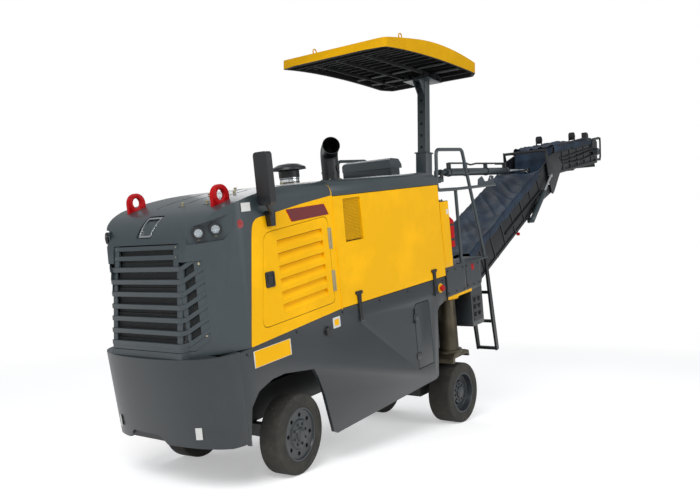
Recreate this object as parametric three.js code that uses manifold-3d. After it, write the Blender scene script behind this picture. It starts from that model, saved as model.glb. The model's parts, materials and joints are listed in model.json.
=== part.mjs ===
// Cold planer: a small milling machine on four solid-tyred wheels.
// Millimetres, +Z up, the machine drives towards -Y and +X is its left side.
// The body stands nose-down on its raised rear legs, so it is built in a level frame of
// its own and turned as one about the front axle. The wheels, canopy and conveyor are upright.
import * as THREE from 'three';
import { mergeVertices } from 'three/addons/utils/BufferGeometryUtils.js';
import Module from 'manifold-3d';

const radians = THREE.MathUtils.degToRad;

// ---------- driving dimensions ----------
const gap = 0.3;                    // clearance between pieces that touch
const slideFit = 0.7;               // clearance of a sliding or turning fit
const moveGap = 5;                  // clearance round a piece that swings
const bodyPitch = 8.69;             // degrees, nose down
const cosPitch = Math.cos(radians(bodyPitch));
const sinPitch = Math.sin(radians(bodyPitch));
const bodyHalfWidth = 650;          // outer face of the side plates
const plateWall = 30;               // side plates and apron
const panelWall = 30;               // bonnet and side panels
const panelGap = 6;                 // shut line round doors and panels

const frontWheelDiameter = 620;
const frontTyreWidth = 180;
const frontWheelCentre = 530;       // from the centre line
const kingpinCentre = 385;
const steerAngle = 7.25;            // degrees to the left, as it stands
const rearWheelDiameter = 620;
const rearTyreWidth = 250;
const rearWheelCentre = 486;
const wheelbase = 2612;
const rimRadius = 205;

const bonnetFront = -430;           // front edge of the yellow bonnet side
const bonnetRear = 637;             // shut line between bonnet and middle body
const middleRear = 2345;
const waistHeight = 2092;           // top of the yellow panels
const roofHeight = 2223;            // top of the middle body
const sillFront = 1087;             // lower edge of the bonnet at its front
const sillRear = 1168;
const skirtBottom = 215;
const apronBottom = 430;

const deckTop = 1255;
const deckThickness = 25;
const platformFront = 2358;
const platformRear = 3110;
const legDiameter = 196;
const legAxisY = wheelbase * cosPitch;   // in the body's frame

const drumDiameter = 600;
const drumWidth = 500;
const housingHalfWidth = 300;

const canopyHalfWidth = 630;
const canopyCentre = -30;
const canopyFront = 1160;
const canopyRear = 3080;
const postX = 60;
const postCentreY = 2758;
const postSize = 100;
const columnSize = 130;

const conveyorSlope = 30.7;         // degrees above level, lower section
const upperSlope = 12.2;
const conveyorHalfWidth = 290;
const conveyorDepth = 387;
const slewAxisY = 3076;
const liftHingeY = 3180;
const liftHingeZ = 1330;
const foldHingeY = 5792;
const foldHingeZ = 2736;

// ---------- helpers ----------
const wasm = await Module();
wasm.setup();
const axleHeight = frontWheelDiameter / 2;

function solid(geometry) {
  const bare = geometry.index ? geometry.toNonIndexed() : geometry.clone();
  bare.deleteAttribute('normal');
  bare.deleteAttribute('uv');
  const merged = mergeVertices(bare, 1e-3);
  return new wasm.Manifold(new wasm.Mesh({
    numProp: 3,
    vertProperties: new Float32Array(merged.attributes.position.array),
    triVerts: new Uint32Array(merged.index.array),
  }));
}

function shape(manifold) {
  const mesh = manifold.getMesh();
  const geometry = new THREE.BufferGeometry();
  geometry.setAttribute('position', new THREE.BufferAttribute(new Float32Array(mesh.vertProperties), 3));
  geometry.setIndex(new THREE.BufferAttribute(new Uint32Array(mesh.triVerts), 1));
  return geometry;
}

function join(...pieces) {
  return pieces.flat().reduce((all, piece) => all.add(piece));
}

function cut(base, ...tools) {
  return tools.flat().reduce((rest, tool) => rest.subtract(tool), base);
}

// A block between two corners.
function block(x0, x1, y0, y1, z0, z1) {
  const geometry = new THREE.BoxGeometry(x1 - x0, y1 - y0, z1 - z0);
  return solid(geometry.translate((x0 + x1) / 2, (y0 + y1) / 2, (z0 + z1) / 2));
}

function outline(points) {
  return points instanceof THREE.Shape ? points : new THREE.Shape(points.map(([a, b]) => new THREE.Vector2(a, b)));
}

function extruded(points, depth, curveSegments = 6) {
  return new THREE.ExtrudeGeometry(outline(points), { depth, bevelEnabled: false, curveSegments });
}

// Outlines in (Y, Z) drawn across X, in (X, Z) drawn along Y, and in (X, Y) drawn up Z.
function across(points, x0, x1) {
  const geometry = extruded(points, x1 - x0);
  const turn = new THREE.Matrix4().makeBasis(
    new THREE.Vector3(0, 1, 0), new THREE.Vector3(0, 0, 1), new THREE.Vector3(1, 0, 0));
  return solid(geometry.applyMatrix4(turn).translate(x0, 0, 0));
}

function along(points, y0, y1) {
  const geometry = extruded(points, y1 - y0);
  const turn = new THREE.Matrix4().makeBasis(
    new THREE.Vector3(1, 0, 0), new THREE.Vector3(0, 0, 1), new THREE.Vector3(0, -1, 0));
  return solid(geometry.applyMatrix4(turn).translate(0, y1, 0));
}

function upward(points, z0, z1) {
  return solid(extruded(points, z1 - z0).translate(0, 0, z0));
}

// A round bar between two points.
function bar(from, to, radius, sides = 12) {
  const start = new THREE.Vector3(...from);
  const end = new THREE.Vector3(...to);
  const geometry = new THREE.CylinderGeometry(radius, radius, start.distanceTo(end), sides);
  const turn = new THREE.Quaternion().setFromUnitVectors(
    new THREE.Vector3(0, 1, 0), end.clone().sub(start).normalize());
  const middle = start.add(end).multiplyScalar(0.5);
  return solid(geometry.applyQuaternion(turn).translate(middle.x, middle.y, middle.z));
}

// A bent tube: straight runs between the points, with a round bend at each inner point.
function bentPath(points, bend) {
  const corners = points.map((point) => new THREE.Vector3(...point));
  const path = new THREE.CurvePath();
  let last = corners[0];
  for (let i = 1; i < corners.length - 1; i += 1) {
    const before = corners[i].clone().sub(last).setLength(bend);
    const after = corners[i + 1].clone().sub(corners[i]).setLength(bend);
    const enter = corners[i].clone().sub(before);
    const leave = corners[i].clone().add(after);
    path.add(new THREE.LineCurve3(last, enter));
    path.add(new THREE.QuadraticBezierCurve3(enter, corners[i], leave));
    last = leave;
  }
  path.add(new THREE.LineCurve3(last, corners[corners.length - 1]));
  return path;
}

function tube(path, radius, steps, sides = 8) {
  const section = new THREE.Shape();
  for (let i = 0; i < sides; i += 1) {
    const angle = (2 * Math.PI * i) / sides;
    const point = [radius * Math.cos(angle), radius * Math.sin(angle)];
    if (i === 0) section.moveTo(...point);
    else section.lineTo(...point);
  }
  return solid(new THREE.ExtrudeGeometry(section, { steps, bevelEnabled: false, extrudePath: path }));
}

function mirrored(manifold) {
  return manifold.mirror([1, 0, 0]);
}

// Moves a solid drawn upright at its place into the body's own frame.
function uprightInBody(manifold) {
  return manifold.translate([0, 0, -axleHeight]).rotate([-bodyPitch, 0, 0]).translate([0, 0, axleHeight]);
}

const colours = {
  yellow: [0xf6b800, 0.35, 0.0],
  grey: [0x4e5a5c, 0.4, 0.1],
  darkGrey: [0x42494c, 0.5, 0.1],
  black: [0x1e2124, 0.6, 0.0],
  tyre: [0x45443e, 0.9, 0.0],
  red: [0xc01a22, 0.4, 0.0],
  steel: [0x5a5343, 0.45, 0.6],
  chrome: [0xc8ccd0, 0.2, 1.0],
  sheet: [0x2f4152, 0.7, 0.0],
  leather: [0x26282b, 0.7, 0.0],
};

function piece(name, manifold, finish) {
  const [color, roughness, metalness] = colours[finish];
  const material = new THREE.MeshStandardMaterial({ color, roughness, metalness });
  const mesh = new THREE.Mesh(shape(manifold), material);
  mesh.name = name;
  return mesh;
}

const machine = new THREE.Group();
const tilt = new THREE.Group();
tilt.position.z = axleHeight;
tilt.rotation.x = radians(bodyPitch);
machine.add(tilt);
const body = new THREE.Group();
body.position.z = -axleHeight;
tilt.add(body);

// Height of the sill line, where the panels meet the side plates.
function sill(y) {
  const share = Math.min(1, (y - bonnetFront) / (bonnetRear - bonnetFront));
  return sillFront + share * (sillRear - sillFront);
}

// ---------- front apron and side plates ----------
const apronTop = sillFront - gap;
const apronSeam = -545;
const apronTaper = 0.07;
const wheelArch = [
  [-523, 100], [-523, 450], [-485, 670], [-400, 765], [-250, 815], [-117, 822],
  [215, 772], [262, 690], [315, 537], [410, 100],
];

function planHalf(inset) {
  return [
    [bodyHalfWidth - inset, apronSeam], [bodyHalfWidth - inset, -600 + inset * 0.4],
    [600 - inset, -735 + inset * 0.6], [500 - inset, -815 + inset * 0.8],
    [370 - inset, -868 + inset], [0, -895 + inset],
  ];
}

function planWhole(inset) {
  const half = planHalf(inset);
  const other = half.slice(0, -1).map(([x, y]) => [-x, y]).reverse();
  return [...half, ...other];
}

function frontApron() {
  const lean = (manifold) => manifold.warp((vertex) => {
    if (vertex[1] < apronSeam - 1) vertex[1] += (apronTop - vertex[2]) * apronTaper;
  });
  const wall = cut(upward(planWhole(0), apronBottom, apronTop),
    upward(planWhole(plateWall), apronBottom - 1, apronTop + 1));
  const notch = along([[-330, 300], [-330, 452], [-250, 520], [60, 520], [140, 452], [140, 300]], -1000, -700);
  const slope = across([[-1000, 300], [-1000, 470], [-560, 408], [-500, 300]], -700, 700);
  const lip = upward([[600, -560], [600, -720], [360, -835], [-360, -835], [-600, -720], [-600, -560]],
    apronTop - 24, apronTop);
  return lean(cut(join(wall, lip), notch, slope));
}

const latchPlaces = [880, 2123];      // rubber latches that hold the side cover down
const latchReach = 22;

function sidePlate() {
  const edge = [
    [apronSeam + gap, apronBottom - 20], [apronSeam + gap, sill(apronSeam) - gap], [bonnetFront, sillFront - gap],
    [bonnetRear, sillRear - gap], [2330, sillRear + 8], [2330, 945], [2253, 921], [2175, 900], [2144, 861],
    [2060, 240], [2016, skirtBottom], [430, skirtBottom - 25], [400, 210],
  ];
  const plate = across(edge, bodyHalfWidth - plateWall, bodyHalfWidth);
  const arch = across(wheelArch, bodyHalfWidth - plateWall - 1, bodyHalfWidth + 1);
  const latchBrackets = latchPlaces.map((y) =>
    block(bodyHalfWidth - 1, bodyHalfWidth + latchReach, y - 22, y + 22, 1018, 1050));
  return join(cut(plate, arch, accessDoorHole()), latchBrackets);
}

const accessHingeY = 1700;
const accessDoor = [[1723, 390], [1715, 960], [1755, 999], [1960, 999], [1985, 960], [1985, 390]];

function grow(points, amount) {
  const middleA = points.reduce((sum, [a]) => sum + a, 0) / points.length;
  const middleB = points.reduce((sum, [, b]) => sum + b, 0) / points.length;
  return points.map(([a, b]) => [a + Math.sign(a - middleA) * amount, b + Math.sign(b - middleB) * amount]);
}

function accessDoorHole() {
  return across(grow(accessDoor, panelGap), bodyHalfWidth - plateWall - 1, bodyHalfWidth + 1);
}

const apronSolid = frontApron();
body.add(piece('front_apron', apronSolid, 'darkGrey'));
const skirt = sidePlate();
body.add(piece('left_side_plate', skirt, 'darkGrey'));
body.add(piece('right_side_plate', mirrored(skirt), 'darkGrey'));
const accessHinges = [480, 850].map((z) => join(block(bodyHalfWidth - 6, bodyHalfWidth + 6, 1745, 1775, z, z + 60),
  block(bodyHalfWidth + gap, bodyHalfWidth + 6, accessHingeY, 1775, z, z + 60)));
body.add(piece('access_door', join(across(accessDoor, bodyHalfWidth - plateWall, bodyHalfWidth), accessHinges), 'darkGrey'));

// ---------- main frame ----------
const railInner = 150;
const railOuter = 230;
const railBottom = 395;
const railTop = 650;
const crossReach = bodyHalfWidth - plateWall - gap;

function mainFrame() {
  const rail = block(railInner, railOuter, -560, 2215, railBottom, railTop);
  const cross = [[700, 760, 620], [2100, 2160, 620]].map(([y0, y1, z0]) =>
    block(-crossReach, crossReach, y0, y1, z0, railTop + 60));
  const floor = block(-crossReach, crossReach, 470, 2160, railTop + 40, railTop + 60);
  const nose = block(-railOuter, railOuter, -660, -540, railBottom + 60, railTop + 60);
  const saddle = uprightInBody(block(-100, 100, -90, 90, axleHeight + 70 + gap, railTop));
  const saddleTie = block(-railOuter, railOuter, -110, 110, 560, railTop);
  const horn = cut(block(railInner, railOuter, -838, -540, 520, 640), apronSolid.translate([0, gap, 0]));
  const noseTie = block(-560, 560, -590, -550, 850, 1060);
  const noseWindow = block(-railInner, railInner, -591, -549, 849, 1000);
  const nosePosts = block(-railOuter, railOuter, -590, -550, railTop, 900);
  const bulkhead = block(-crossReach, crossReach, 690, 712, railTop, sillRear + 40);
  return join(rail, mirrored(rail), cross, floor, nose, saddle, saddleTie, horn, mirrored(horn),
    cut(join(noseTie, nosePosts), noseWindow), bulkhead);
}

body.add(piece('main_frame', mainFrame(), 'black'));

// ---------- bonnet ----------
const bonnetProfile = new THREE.Shape();
bonnetProfile.moveTo(bonnetRear - panelGap / 2, sillRear);
bonnetProfile.lineTo(bonnetRear - panelGap / 2, roofHeight);
bonnetProfile.quadraticCurveTo(200, 2222, 0, 2200);
bonnetProfile.quadraticCurveTo(-400, 2150, -560, 2080);
bonnetProfile.quadraticCurveTo(-735, 1990, -752, 1800);
bonnetProfile.lineTo(-766, 1703);
bonnetProfile.lineTo(-852, sillFront);
bonnetProfile.lineTo(bonnetFront, sillFront);
bonnetProfile.closePath();

const bonnetPlan = [
  [bodyHalfWidth, 700], [bodyHalfWidth, -420], [630, -520], [560, -640], [410, -775], [380, -900],
  [-380, -900], [-410, -775], [-560, -640], [-630, -520], [-bodyHalfWidth, -420], [-bodyHalfWidth, 700],
];

// Front view of the body with its rounded shoulders.
function shoulders(inset, top, radius) {
  const half = bodyHalfWidth - inset;
  const view = new THREE.Shape();
  view.moveTo(-half, 900);
  view.lineTo(half, 900);
  view.lineTo(half, top - radius);
  view.quadraticCurveTo(half, top - inset * 0.4, half - radius * 1.6, top);
  view.lineTo(-half + radius * 1.6, top);
  view.quadraticCurveTo(-half, top - inset * 0.4, -half, top - radius);
  view.closePath();
  return view;
}

const bonnetDoor = [[-297, 1196], [556, 1240], [556, 1938], [-190, 1876]];

function bonnetBlank() {
  return across(bonnetProfile, -bodyHalfWidth, bodyHalfWidth)
    .intersect(upward(bonnetPlan, 900, 2300))
    .intersect(along(shoulders(0, roofHeight + 8, 120), -1000, 700));
}

function inside(blank, wall) {
  const sx = (bodyHalfWidth - wall) / bodyHalfWidth;
  return blank.translate([0, 0, 0]).scale([sx, 1, 1]).translate([0, wall, -wall]);
}

const openingHalf = 520;
const grilleHalf = openingHalf - gap;
const grilleOpening = [
  [-365, 1749], [-365, 1877], [365, 1877], [365, 1749], [openingHalf, 1749], [openingHalf, 1189], [440, 1128],
  [-440, 1128], [-openingHalf, 1189], [-openingHalf, 1749],
];

const eyeCentre = 475;
const eyePlate = 30;
const eyeRear = -330;
const eyeFront = -490;

function bonnet() {
  const blank = bonnetBlank();
  const bottomOpening = block(-bodyHalfWidth + panelWall, bodyHalfWidth - panelWall, -440, bonnetRear + 10, 900, 1250);
  const rearOpening = block(-bodyHalfWidth + panelWall, bodyHalfWidth - panelWall, bonnetRear - 120, 700, 900, 2130);
  const opening = along(grilleOpening, -1000, -600);
  const door = across(grow(bonnetDoor, panelGap), 300, bodyHalfWidth + 1);
  const eyeSlot = block(eyeCentre - eyePlate / 2 - 0.5, eyeCentre + eyePlate / 2 + 0.5, eyeFront - 0.5, eyeRear + 0.5,
    1900, 2400);
  return cut(blank, inside(blank, panelWall), bottomOpening, rearOpening, opening, door, mirrored(door),
    eyeSlot, mirrored(eyeSlot));
}

const doorHingeY = 567;
const louvreCount = 6;
const louvrePitch = 96;
const louvreTop = 1811;

function bonnetSideDoor() {
  const leaf = across(bonnetDoor, bodyHalfWidth - panelWall, bodyHalfWidth - 2);
  const slots = Array.from({ length: louvreCount }, (_, i) => louvreTop - i * louvrePitch).map((z) =>
    across([[-50, z - 14], [470, z + 22], [470, z + 34], [-50, z - 2]], bodyHalfWidth - panelWall - 1, bodyHalfWidth));
  const hinges = [1328, 1672].map((z) => join(block(bodyHalfWidth - 6, bodyHalfWidth + 6, 500, 530, z, z + 170),
    block(bodyHalfWidth + gap, bodyHalfWidth + 6, 500, doorHingeY, z, z + 170)));
  return join(cut(leaf, slots), hinges);
}

body.add(piece('bonnet', bonnet(), 'grey'));
const sideDoor = bonnetSideDoor();
body.add(piece('left_bonnet_door', sideDoor, 'yellow'));
body.add(piece('right_bonnet_door', mirrored(sideDoor), 'yellow'));

// The grille: slats that run across the nose and turn back along both chamfers, on two posts and
// two end plates, below a narrow two-bar frame.
const noseY = (z) => (z < 1703 ? -852 + ((z - sillFront) * 86) / 616 : -766 + ((z - 1703) * 14) / 97);
const chamferY = (x) => -775 + (x - 410) * 0.9;
const slatCount = 7;
const slatPitch = 87;
const firstSlat = 1190;
const slatHeight = 34;

function grille() {
  const slatPath = (z, inset) => {
    const half = [[grilleHalf, chamferY(grilleHalf) + 6 + inset], [404, -774 + inset], [386, noseY(z) + 8 + inset]];
    return [...half, ...half.map(([x, y]) => [-x, y]).reverse()];
  };
  const heights = Array.from({ length: slatCount }, (_, i) => firstSlat + i * slatPitch);
  const slats = heights.map((z) => upward([...slatPath(z, 30), ...slatPath(z, 0).reverse()], z, z + slatHeight));
  const top = heights[slatCount - 1] + slatHeight;
  const leaning = (z0, z1, inset, depth) => [
    [noseY(z0) + inset, z0], [noseY(z0) + inset + depth, z0], [noseY(z1) + inset + depth, z1], [noseY(z1) + inset, z1],
  ];
  const post = across(leaning(firstSlat, top, 18, 18), 332, 372);
  const end = upward([[grilleHalf, chamferY(grilleHalf) + 12], [475, chamferY(475) + 12], [475, chamferY(475) + 34],
    [grilleHalf, chamferY(grilleHalf) + 34]], firstSlat, top);
  const frameSide = across(leaning(top - slatHeight, 1866, 12, 20), 318, 360);
  const frameBars = [[1772, 1796], [1840, 1866]].map(([z0, z1]) => across(leaning(z0, z1, 10, 24), -360, 360));
  return join(slats, post, mirrored(post), end, mirrored(end), frameSide, mirrored(frameSide), frameBars);
}

body.add(piece('grille', grille(), 'grey'));

// ---------- middle body: roof, sides and dash ----------
const coverFront = bonnetRear + panelGap / 2;

function middleBody() {
  const profile = [
    [coverFront, waistHeight + gap], [coverFront, roofHeight], [2180, roofHeight], [2300, roofHeight - 25],
    [middleRear, waistHeight + 40], [middleRear, waistHeight + gap],
  ];
  const blank = across(profile, -bodyHalfWidth, bodyHalfWidth)
    .intersect(along(shoulders(0, roofHeight + 8, 100), 0, 3000));
  const hollow = block(-bodyHalfWidth + 90, bodyHalfWidth - 90, coverFront + 30, middleRear - 30,
    waistHeight - 20, roofHeight - 30);
  const post = block(-560, -520, coverFront, coverFront + 40, sillRear + 10, waistHeight + 20);
  const rearWall = block(-bodyHalfWidth + panelWall + gap, bodyHalfWidth - panelWall - gap,
    middleRear - 25, middleRear, deckTop + gap, waistHeight + 20);
  return join(cut(blank, hollow), post, mirrored(post), rearWall);
}

function sideCover() {
  const face = [[coverFront, sillRear + moveGap], [coverFront, waistHeight - moveGap],
    [middleRear - 6, waistHeight - moveGap], [middleRear + 7, sillRear + 12]];
  const knuckles = [700, 1460, 2220].map((y) => block(bodyHalfWidth - 14, bodyHalfWidth, y, y + 60,
    waistHeight - 40, waistHeight - gap));
  return join(across(face, bodyHalfWidth - panelWall, bodyHalfWidth), knuckles);
}

body.add(piece('middle_body', middleBody(), 'grey'));
const cover = sideCover();
body.add(piece('left_side_cover', cover, 'yellow'));
body.add(piece('right_side_cover', mirrored(cover), 'yellow'));

body.add(piece('engine', block(-330, 330, 760, 1760, railTop + 60 + gap, 1560), 'black'));

// ---------- fittings on the bonnet ----------
const eyeHoleRadius = 40;
const eyeHeadBottom = 2153;
const eyeBossStep = 1;

function liftingEye() {
  const side = (bottom) => {
    const view = new THREE.Shape();
    view.moveTo(eyeFront, bottom);
    view.lineTo(eyeRear, bottom);
    view.lineTo(eyeRear, 2180);
    view.absarc((eyeFront + eyeRear) / 2, 2180, (eyeRear - eyeFront) / 2, 0, Math.PI, false);
    view.closePath();
    return view;
  };
  const low = eyeCentre - eyePlate / 2;
  const high = eyeCentre + eyePlate / 2;
  const hole = bar([low - 5, (eyeFront + eyeRear) / 2, 2185], [high + 5, (eyeFront + eyeRear) / 2, 2185], eyeHoleRadius, 20);
  return cut(join(across(side(1980), low, high), across(side(eyeHeadBottom), low - eyeBossStep, high + eyeBossStep)), hole);
}

const eye = liftingEye();
body.add(piece('left_lifting_eye', eye, 'red'));
body.add(piece('right_lifting_eye', mirrored(eye), 'red'));

const intakeY = 895;
const intakeCap = [
  [0, roofHeight], [86, roofHeight], [86, 2290], [92, 2294], [92, 2342], [156, 2348], [150, 2372], [90, 2402], [0, 2412],
];

// A solid of revolution about a vertical axis, from a profile of (radius, height).
function turned(profile, sides = 24) {
  const geometry = new THREE.LatheGeometry(profile.map(([r, z]) => new THREE.Vector2(r, z)), sides);
  return solid(geometry.rotateX(Math.PI / 2));
}

body.add(piece('air_intake', turned(intakeCap).translate([0, intakeY, gap]), 'black'));

const exhaustX = 50;
const exhaustY = 1425;
const exhaustRadius = 82;
const exhaustWall = 5;
const exhaustBend = 110;

function exhaust() {
  const elbow = [exhaustX, exhaustY, 2495];
  const mouth = (reach) => [exhaustX + reach * 0.743, exhaustY - reach * 0.669, elbow[2] + reach * 0.28];
  const route = bentPath([[exhaustX, exhaustY, roofHeight + gap], elbow, mouth(170)], exhaustBend);
  const bore = bentPath([[exhaustX, exhaustY, 2250], elbow, mouth(200)], exhaustBend);
  const flange = turned([[0, 0], [102, 0], [102, 14], [0, 14]]).translate([exhaustX, exhaustY, roofHeight + gap]);
  return cut(join(tube(route, exhaustRadius, 10, 16), flange), tube(bore, exhaustRadius - exhaustWall, 10, 16));
}

body.add(piece('exhaust_pipe', exhaust(), 'black'));

const mirrorX = bodyHalfWidth + 85;

function mirror() {
  const head = along([[-66, 2100], [-46, 2076], [46, 2076], [66, 2100], [66, 2440], [46, 2460], [-46, 2460], [-66, 2440]],
    -236, -176).translate([mirrorX, 0, 0]);
  const stem = bar([mirrorX, -200, 2090], [bodyHalfWidth + 40, -125, 2010], 18, 10);
  const foot = across([[-150, 1930], [-100, 1915], [-90, 2040], [-160, 2040]], bodyHalfWidth + gap, bodyHalfWidth + 55);
  return join(head, stem, foot);
}

body.add(piece('left_mirror', mirror(), 'black'));

// ---------- dash across the rear of the roof ----------
const dashHalfWidth = 305;
const dashCentre = -55;

function dash() {
  return cut(
    across([[2150, roofHeight + gap], [2180, roofHeight + gap], [2300, roofHeight - 25 + gap], [2300, 2296], [2150, 2308]],
      -dashHalfWidth, dashHalfWidth),
    block(-dashHalfWidth + 20, dashHalfWidth - 20, 2170, 2280, 2240, 2320)).translate([dashCentre, 0, 0]);
}

function dashLid() {
  const side = [[2144, 2308.8], [2344, 2292.8], [2344, 2330], [2320, 2385], [2200, 2400], [2144, 2380]];
  const shell = cut(across(side, -dashHalfWidth, dashHalfWidth),
    across([[2160, 2290], [2330, 2280], [2330, 2325], [2310, 2368], [2205, 2382], [2160, 2364]],
      -dashHalfWidth + 15, dashHalfWidth - 15));
  return shell.translate([dashCentre, 0, 0]);
}

body.add(piece('dash', dash(), 'darkGrey'));
body.add(piece('dash_lid', dashLid(), 'grey'));

// ---------- operator's platform ----------
const boxHalfInner = 380;
const collarOuter = 135;
const platformBeamBottom = 930;

const landingRear = 3288;
const boxUnder = (y) => platformBeamBottom + (30 * (y - platformFront)) / (3070 - platformFront);
const towerTop = 1330;

function platform() {
  const deck = block(-bodyHalfWidth, bodyHalfWidth, platformFront, platformRear, deckTop - deckThickness, deckTop);
  const sideBoxes = across([[platformFront, boxUnder(platformFront)], [platformFront, deckTop - 1],
    [platformRear, deckTop - 1], [platformRear, 1010], [3070, boxUnder(3070)]], boxHalfInner, bodyHalfWidth);
  const landing = block(345, bodyHalfWidth, platformRear - 1, landingRear, deckTop - 20, deckTop);
  const beam = block(-boxHalfInner - 1, boxHalfInner + 1, 2480, 2690, 960, deckTop - 1);
  const rearBeam = block(-boxHalfInner + 40, boxHalfInner - 40, platformRear - 40, platformRear, 830, deckTop - 1);
  const frontBeam = block(-boxHalfInner - 1, boxHalfInner + 1, platformFront, platformFront + 30, 930, deckTop - 1);
  const sleeve = join(bar([rearWheelCentre, legAxisY, 900], [rearWheelCentre, legAxisY, 1270], legDiameter / 2 + slideFit, 20),
    bar([rearWheelCentre, legAxisY, 961], [rearWheelCentre, legAxisY, 1270], legDiameter / 2 + 4, 20));
  const collar = bar([rearWheelCentre, legAxisY, 905], [rearWheelCentre, legAxisY, 960], collarOuter, 20);
  const tower = bar([rearWheelCentre, legAxisY, deckTop - 2], [rearWheelCentre, legAxisY, towerTop], 118, 20);
  const towerHollow = bar([rearWheelCentre, legAxisY, 1200], [rearWheelCentre, legAxisY, towerTop - 8], legDiameter / 2 + 4, 20);
  const all = join(deck, landing, mirrored(landing), sideBoxes, mirrored(sideBoxes), beam, rearBeam, frontBeam, collar, mirrored(collar),
    tower, mirrored(tower));
  return cut(all, sleeve, mirrored(sleeve), towerHollow, mirrored(towerHollow));
}

body.add(piece('operator_platform', platform(), 'darkGrey'));

const rearBox = [[2835, 560], [2835, boxUnder(2835) - gap], [3070, boxUnder(3070) - gap], [3090, 978], [3090, 560]];
body.add(piece('rear_tool_box', across(rearBox, 345, bodyHalfWidth), 'darkGrey'));

const cabinetRear = 2520;
body.add(piece('rear_cabinet', cut(block(372, bodyHalfWidth, platformFront, cabinetRear, deckTop + gap, 1915),
  bar([rearWheelCentre, legAxisY, 1200], [rearWheelCentre, legAxisY, towerTop + 4], 122, 20)), 'yellow'));

function extinguisher() {
  return turned([[0, 1500], [58, 1500], [62, 1508], [62, 1770], [50, 1800], [20, 1812], [20, 1850], [0, 1850]], 16)
    .translate([590, cabinetRear + 62 + gap, -60]);
}

body.add(piece('fire_extinguisher', extinguisher(), 'red'));

function seat() {
  const base = block(-560, -260, 2760, 3000, deckTop + gap, 1560);
  const cushion = upward([[-600, 2700], [-220, 2700], [-220, 3060], [-600, 3060]], 1560 - 1, 1660);
  const back = across([[3000, 1640], [3060, 1640], [3100, 2080], [3045, 2080]], -600, -220);
  return join(base, cushion, back);
}

body.add(piece('operator_seat', seat(), 'leather'));

const railTube = 18;
const railX = 620;

function handrail() {
  const loop = bentPath([
    [railX, 2748, 2024], [railX, 2372, 2034], [railX, 2420, 2436], [railX, 2950, 2428], [railX, 3268, 1300],
    [railX, 3268, deckTop + gap]], 55);
  const lower = bar([railX, 2740, 2024], [railX, 3660, 2020], railTube - 2, 8);
  const upright = bar([railX, 2748, 2024], [railX, 2748, deckTop + gap], railTube, 8);
  const bracket = cut(across([[3250, 2026], [3640, 2026], [3640, 2120], [3560, 2130], [3500, 2070], [3420, 2070],
    [3360, 2130], [3270, 2100]], railX - 4, railX + 4), bar([railX - 6, 3570, 2095], [railX + 6, 3570, 2095], 14, 8));
  return join(tube(loop, railTube, 30), lower, upright, bracket);
}

const rail = handrail();
body.add(piece('left_handrail', rail, 'grey'));
body.add(piece('right_handrail', mirrored(rail), 'grey'));

const ladderInner = 404;
const ladderOuter = 634;

function ladder() {
  const side = (x) => across([[3240, 1234.7], [3286, 1234.7], [3350, 600], [3395, 195], [3345, 185], [3290, 600]], x - 12, x + 12);
  const rungs = [[3368, 205], [3330, 520], [3296, 850]].map(([y, z]) =>
    block(ladderInner, ladderOuter, y - 25, y + 25, z - 14, z + 14));
  return join(side(ladderInner), side(ladderOuter), rungs);
}

body.add(piece('ladder', ladder(), 'black'));

// ---------- canopy: a fixed column, a sliding post and the roof ----------
function deckLine(y) {
  const tan = Math.tan(radians(bodyPitch));
  const cos = Math.cos(radians(bodyPitch));
  return axleHeight + y * tan + (deckTop - axleHeight) / cos;
}

const columnTop = 2895;
const postTop = 3680;
const columnBack = postCentreY + columnSize / 2;
const cylinderEye = [postX, slewAxisY, 2708];
const swivelBase = cylinderEye[2] - 68;
const postBottom = 2290;

function canopyColumn() {
  const half = columnSize / 2;
  const front = postCentreY - half;
  const [, eyeY, eyeZ] = cylinderEye;
  const outer = across([[front, deckLine(front) + gap + 0.2], [columnBack, deckLine(columnBack) + gap + 0.2],
    [columnBack, columnTop], [front, columnTop]], postX - half, postX + half);
  const collar = block(postX - half - 12, postX + half + 12, front - 12, columnBack + 12, columnTop - 14, columnTop);
  const inner = postSize / 2 + 4;
  const neck = postSize / 2 + slideFit;
  const bore = join(block(postX - inner, postX + inner, postCentreY - inner, postCentreY + inner, 1500, columnTop - 14),
    block(postX - neck, postX + neck, postCentreY - neck, postCentreY + neck, 1950, columnTop + 10));
  const arm = across([[columnBack - 2, eyeZ - 230], [columnBack - 2, eyeZ - 60], [columnBack + 30, swivelBase],
    [eyeY + 45, swivelBase], [eyeY + 45, swivelBase - 40], [columnBack + 90, swivelBase - 60]], postX - 40, postX + 40);
  const pinHole = bar([postX, eyeY, swivelBase - 70], [postX, eyeY, swivelBase + 10], 25 + slideFit, 20);
  return join(cut(join(outer, collar), bore), cut(arm, pinHole));
}

// The clevis that carries the lift cylinder's eye and turns with the conveyor.
function cylinderSwivel() {
  const [eyeX, eyeY, eyeZ] = cylinderEye;
  const stub = bar([eyeX, eyeY, swivelBase - 52], [eyeX, eyeY, swivelBase + 10], 25, 20);
  const base = block(eyeX - 46, eyeX + 46, eyeY - 32, eyeY + 32, swivelBase + gap, swivelBase + 18);
  const cheek = [-46, 30].map((x) => across([[eyeY - 30, swivelBase + 16], [eyeY + 30, swivelBase + 16],
    [eyeY + 28, eyeZ + 14], [eyeY + 14, eyeZ + 28], [eyeY - 14, eyeZ + 28], [eyeY - 28, eyeZ + 14]], eyeX + x, eyeX + x + 16));
  const pin = bar([eyeX - 50, eyeY, eyeZ], [eyeX + 50, eyeY, eyeZ], 15.2, 12);
  return join(stub, base, cheek, pin);
}

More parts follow.
